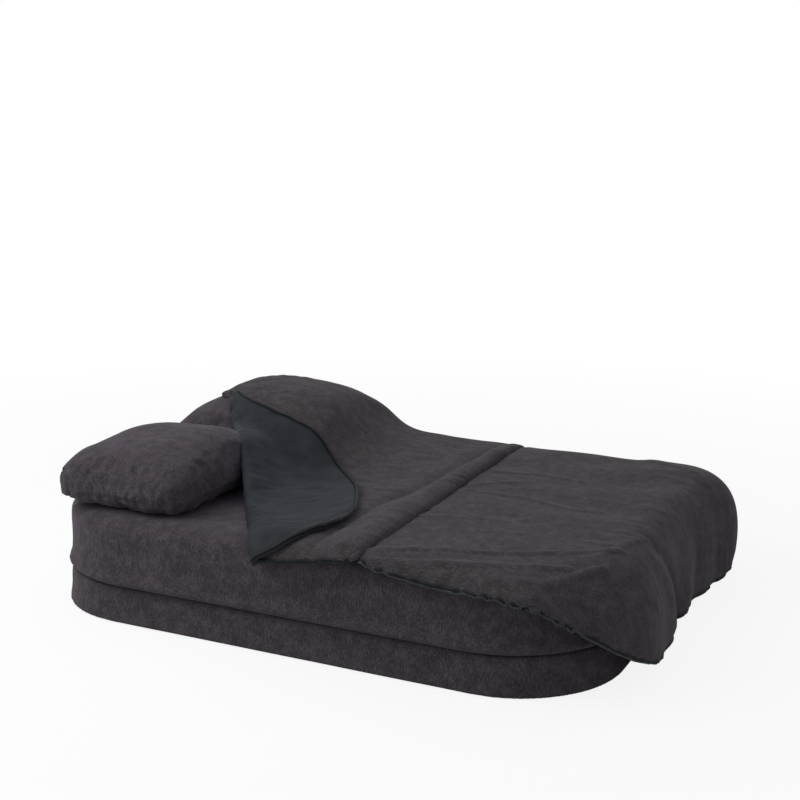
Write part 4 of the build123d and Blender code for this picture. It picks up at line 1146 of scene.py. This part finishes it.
# %% Zips round the rims
rows, columns = quilt_middles["lower"].shape[:2]
UNDER_ROLL, PAST_TURN = 14, 23  # grid lines: the lower zip's end under the roll, the start past the fold
round_foot = [(r, 0) for r in range(UNDER_ROLL, 0, -1)] + [(0, c) for c in range(columns)]
round_foot += [(r, columns - 1) for r in range(1, rows)]
round_foot += [(rows - 1, c) for c in range(columns - 2, 1, -1)]
lower_zip = swept_zip("quilt_lower_zip_line", [(0, rim_frames(quilt_middles["lower"], round_foot))])
rows, columns = quilt_middles["upper"].shape[:2]
near_hem = [(0, c) for c in range(2, columns)]
lines_fine = quilt_middles["upper"][:, 0, 1]
first_head = int(np.argmax(lines_fine > FAR_CREASE[1] + 0.01))
far_and_head = [(rows - 1, c) for c in range(columns - 2, 0, -1)]
far_and_head += [(r, 0) for r in range(rows - 1, first_head, -1)]
flap_rows, flap_columns = flap_middle.shape[:2]
round_flap = [(0, c) for c in range(PAST_TURN, flap_columns)]
round_flap += [(r, flap_columns - 1) for r in range(1, flap_rows)]
upper_zip = swept_zip(
    "quilt_upper_zip_line",
    [
        (1, rim_frames(quilt_middles["upper"], near_hem)),
        (1, rim_frames(quilt_middles["upper"], far_and_head)),
        (1, rim_frames(flap_middle, round_flap)),
    ],
)
for piece, node in ((lower_zip, "quilt_lower_zip"), (upper_zip, "quilt_upper_zip")):
    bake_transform(piece)
    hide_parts(node)
    print(piece.name, len(piece.data.polygons), "faces")

# %% [markdown]
# ## Floor and light
# A plain white floor under a soft white sky, with one large lamp high at the near left and a weak one
# overhead. To the camera the floor is nearly white paper, all white away from the object, so the backdrop
# has no horizon and the object keeps its shadow.

# %% Floor and light
FLOOR, WHITE = 30, (1, 1, 1, 1)
PAPER_NEAR, PAPER_FROM, PAPER_TO = 0.87, 1.6, 4.5
floor_paint, shader = new_material("floor_paint_matt", {"Base Color": tone("#dedede"), "Roughness": 0.9})
paper = add_node(floor_paint, "ShaderNodeEmission", {"Color": WHITE, "Strength": 1.0})
spot = add_node(floor_paint, "ShaderNodeNewGeometry").outputs["Position"]
away = add_node(floor_paint, "ShaderNodeVectorMath", {"operation": "LENGTH"}, {0: spot})
fading = add_node(
    floor_paint,
    "ShaderNodeMapRange",
    {"From Min": PAPER_FROM, "From Max": PAPER_TO, "To Min": PAPER_NEAR, "To Max": 1.0},
    {"Value": away.outputs["Value"]},
)
ray = add_node(floor_paint, "ShaderNodeLightPath")
shown = add_node(
    floor_paint,
    "ShaderNodeMath",
    {"operation": "MULTIPLY"},
    {0: fading.outputs[0], 1: ray.outputs["Is Camera Ray"]},
)
mixed = add_node(
    floor_paint, "ShaderNodeMixShader", links={0: shown.outputs[0], 1: shader.outputs[0], 2: paper.outputs[0]}
)
output = next(node for node in floor_paint.node_tree.nodes if node.type == "OUTPUT_MATERIAL")
floor_paint.node_tree.links.new(mixed.outputs[0], output.inputs["Surface"])
corners = [(-FLOOR, -FLOOR, 0), (FLOOR, -FLOOR, 0), (FLOOR, FLOOR, 0), (-FLOOR, FLOOR, 0)]
floor = mesh_piece("floor", corners, [(0, 1, 2, 3)], floor_paint)

# %% Sky and lamps
world = bpy.data.worlds.new("studio")
scene.world = world
world.use_nodes = True
world.node_tree.nodes.clear()
sky = add_node(world, "ShaderNodeBackground", {"Color": (0.93, 0.94, 0.97, 1), "Strength": 0.65})
white = add_node(world, "ShaderNodeBackground", {"Color": WHITE, "Strength": 1.0})
seen = add_node(world, "ShaderNodeLightPath")
straight = add_node(
    world,
    "ShaderNodeMath",
    {"operation": "MAXIMUM"},
    {0: seen.outputs["Is Camera Ray"], 1: seen.outputs["Is Glossy Ray"]},
)
either = add_node(
    world,
    "ShaderNodeMixShader",
    links={0: straight.outputs[0], 1: sky.outputs[0], 2: white.outputs[0]},
)
add_node(world, "ShaderNodeOutputWorld", links={"Surface": either.outputs[0]})


def soft_lamp(name, place, aim, size, power):
    """A square lamp that looks at a point."""
    data = bpy.data.lights.new(name, "AREA")
    data.size = size
    data.energy = power
    lamp = bpy.data.objects.new(name, data)
    scene.collection.objects.link(lamp)
    lamp.location = place
    lamp.rotation_euler = (Vector(place) - Vector(aim)).to_track_quat("Z", "Y").to_euler()


soft_lamp("overhead", place=(-0.6, 0.8, 3.4), aim=(0, 0, 0.3), size=2.6, power=8)
soft_lamp("left_fill", place=(-2.3, -1.9, 3.0), aim=(-0.4, -0.2, 0.3), size=2.2, power=92)
print("lamps", [lamp.name for lamp in bpy.data.lights])

# %% [markdown]
# ## Finishes of the carried-over pieces
# The boards, slats, tubes and plates keep their CAD shapes. Timber gets growth rings about 3 mm apart, drawn
# out along the board. The tubes are powder coated, which is matt with a fine orange peel. The plates are zinc
# plated, a grey metal with a soft mottle, and pins, bolts and springs are bright turned steel.

# %% Timber
RING_STRETCH, PORE_MM = 0.03, 0.4


def timber(name, along, shades, ring_mm, roughness):
    """Wood with its growth rings drawn out along one axis."""
    material, shader = new_material(name, {"Roughness": roughness, "Specular IOR Level": 0.4})
    rings = drawn_mottle(
        material, [ring_mm / RING_STRETCH if axis == along else ring_mm for axis in "XYZ"], 4.0
    )
    pale, dark = shades
    colour = blend_colours(material, rings, ((0.3, dark), (0.6, pale)))
    plug(material, shader, {"Base Color": colour, "Normal": relief(material, rings, 0.2, PORE_MM)})
    return material


def surface(name, values, shades, size_mm, relief_mm):
    """A moulded, coated, plated or bonded surface: two shades mottled at one size, with a fine relief."""
    material, shader, pattern = two_shades(name, values, shades, size_mm, detail=3.0)
    plug(material, shader, {"Normal": relief(material, pattern, 0.3, relief_mm)})
    return material


# %% Finishes by piece
PINE = ("#c9a473", "#b0855a")
pine_long = timber("pine_board_planed_long", "X", PINE, ring_mm=3, roughness=0.6)
pine_cross = timber("pine_board_planed_cross", "Y", PINE, ring_mm=3, roughness=0.6)
plywood = timber("plywood_sanded", "X", ("#c2a06e", "#b08c5c"), ring_mm=5, roughness=0.65)
beech = timber("beech_slat_lacquered", "Y", ("#c39a6c", "#b4875a"), ring_mm=2, roughness=0.35)
coated, zinc, bright, glide_plastic, nonwoven = (
    surface(name, {"Metallic": metallic, "Roughness": roughness}, shades, pattern_mm, relief_mm)
    for name, metallic, roughness, shades, pattern_mm, relief_mm in (
        ("steel_tube_powder_coated", 0.0, 0.5, ("#161617", "#1e1e20"), 1.2, 0.05),
        ("steel_plate_zinc_plated", 1.0, 0.42, ("#8d9092", "#a9acad"), 6, 0.03),
        ("steel_turned_bright", 1.0, 0.25, ("#a6a6a5", "#bdbdbc"), 2, 0.01),
        ("polyethylene_glide_moulded", 0.0, 0.45, ("#101011", "#18181a"), 2, 0.02),
        ("polypropylene_nonwoven_bonded", 0.0, 0.9, ("#131313", "#1f1f1f"), 2.5, 0.2),
    )
)
FINISHES = (  # the first row whose word is in the node's name gives its finish
    ("cloth", nonwoven), ("deck", plywood), ("cross_board", pine_cross), ("head_board", pine_cross),
    ("foot_board", pine_cross), ("board", pine_long), ("glides", glide_plastic), ("slats", beech),
    ("rail", coated), ("leg", coated), ("spring", bright), ("pin", bright), ("bolts", bright),
    ("plate", zinc), ("pawl", zinc), ("zip", zip_tape), ("quilt_turned", lining),
    ("quilt", quilt_velour), ("", bed_velour),
)
for name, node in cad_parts.items():
    finish = next(material for word, material in FINISHES if word in name)
    node.data.materials.clear()
    node.data.materials.append(finish)
print("finished", len(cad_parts), "nodes with", len(bpy.data.materials), "materials")
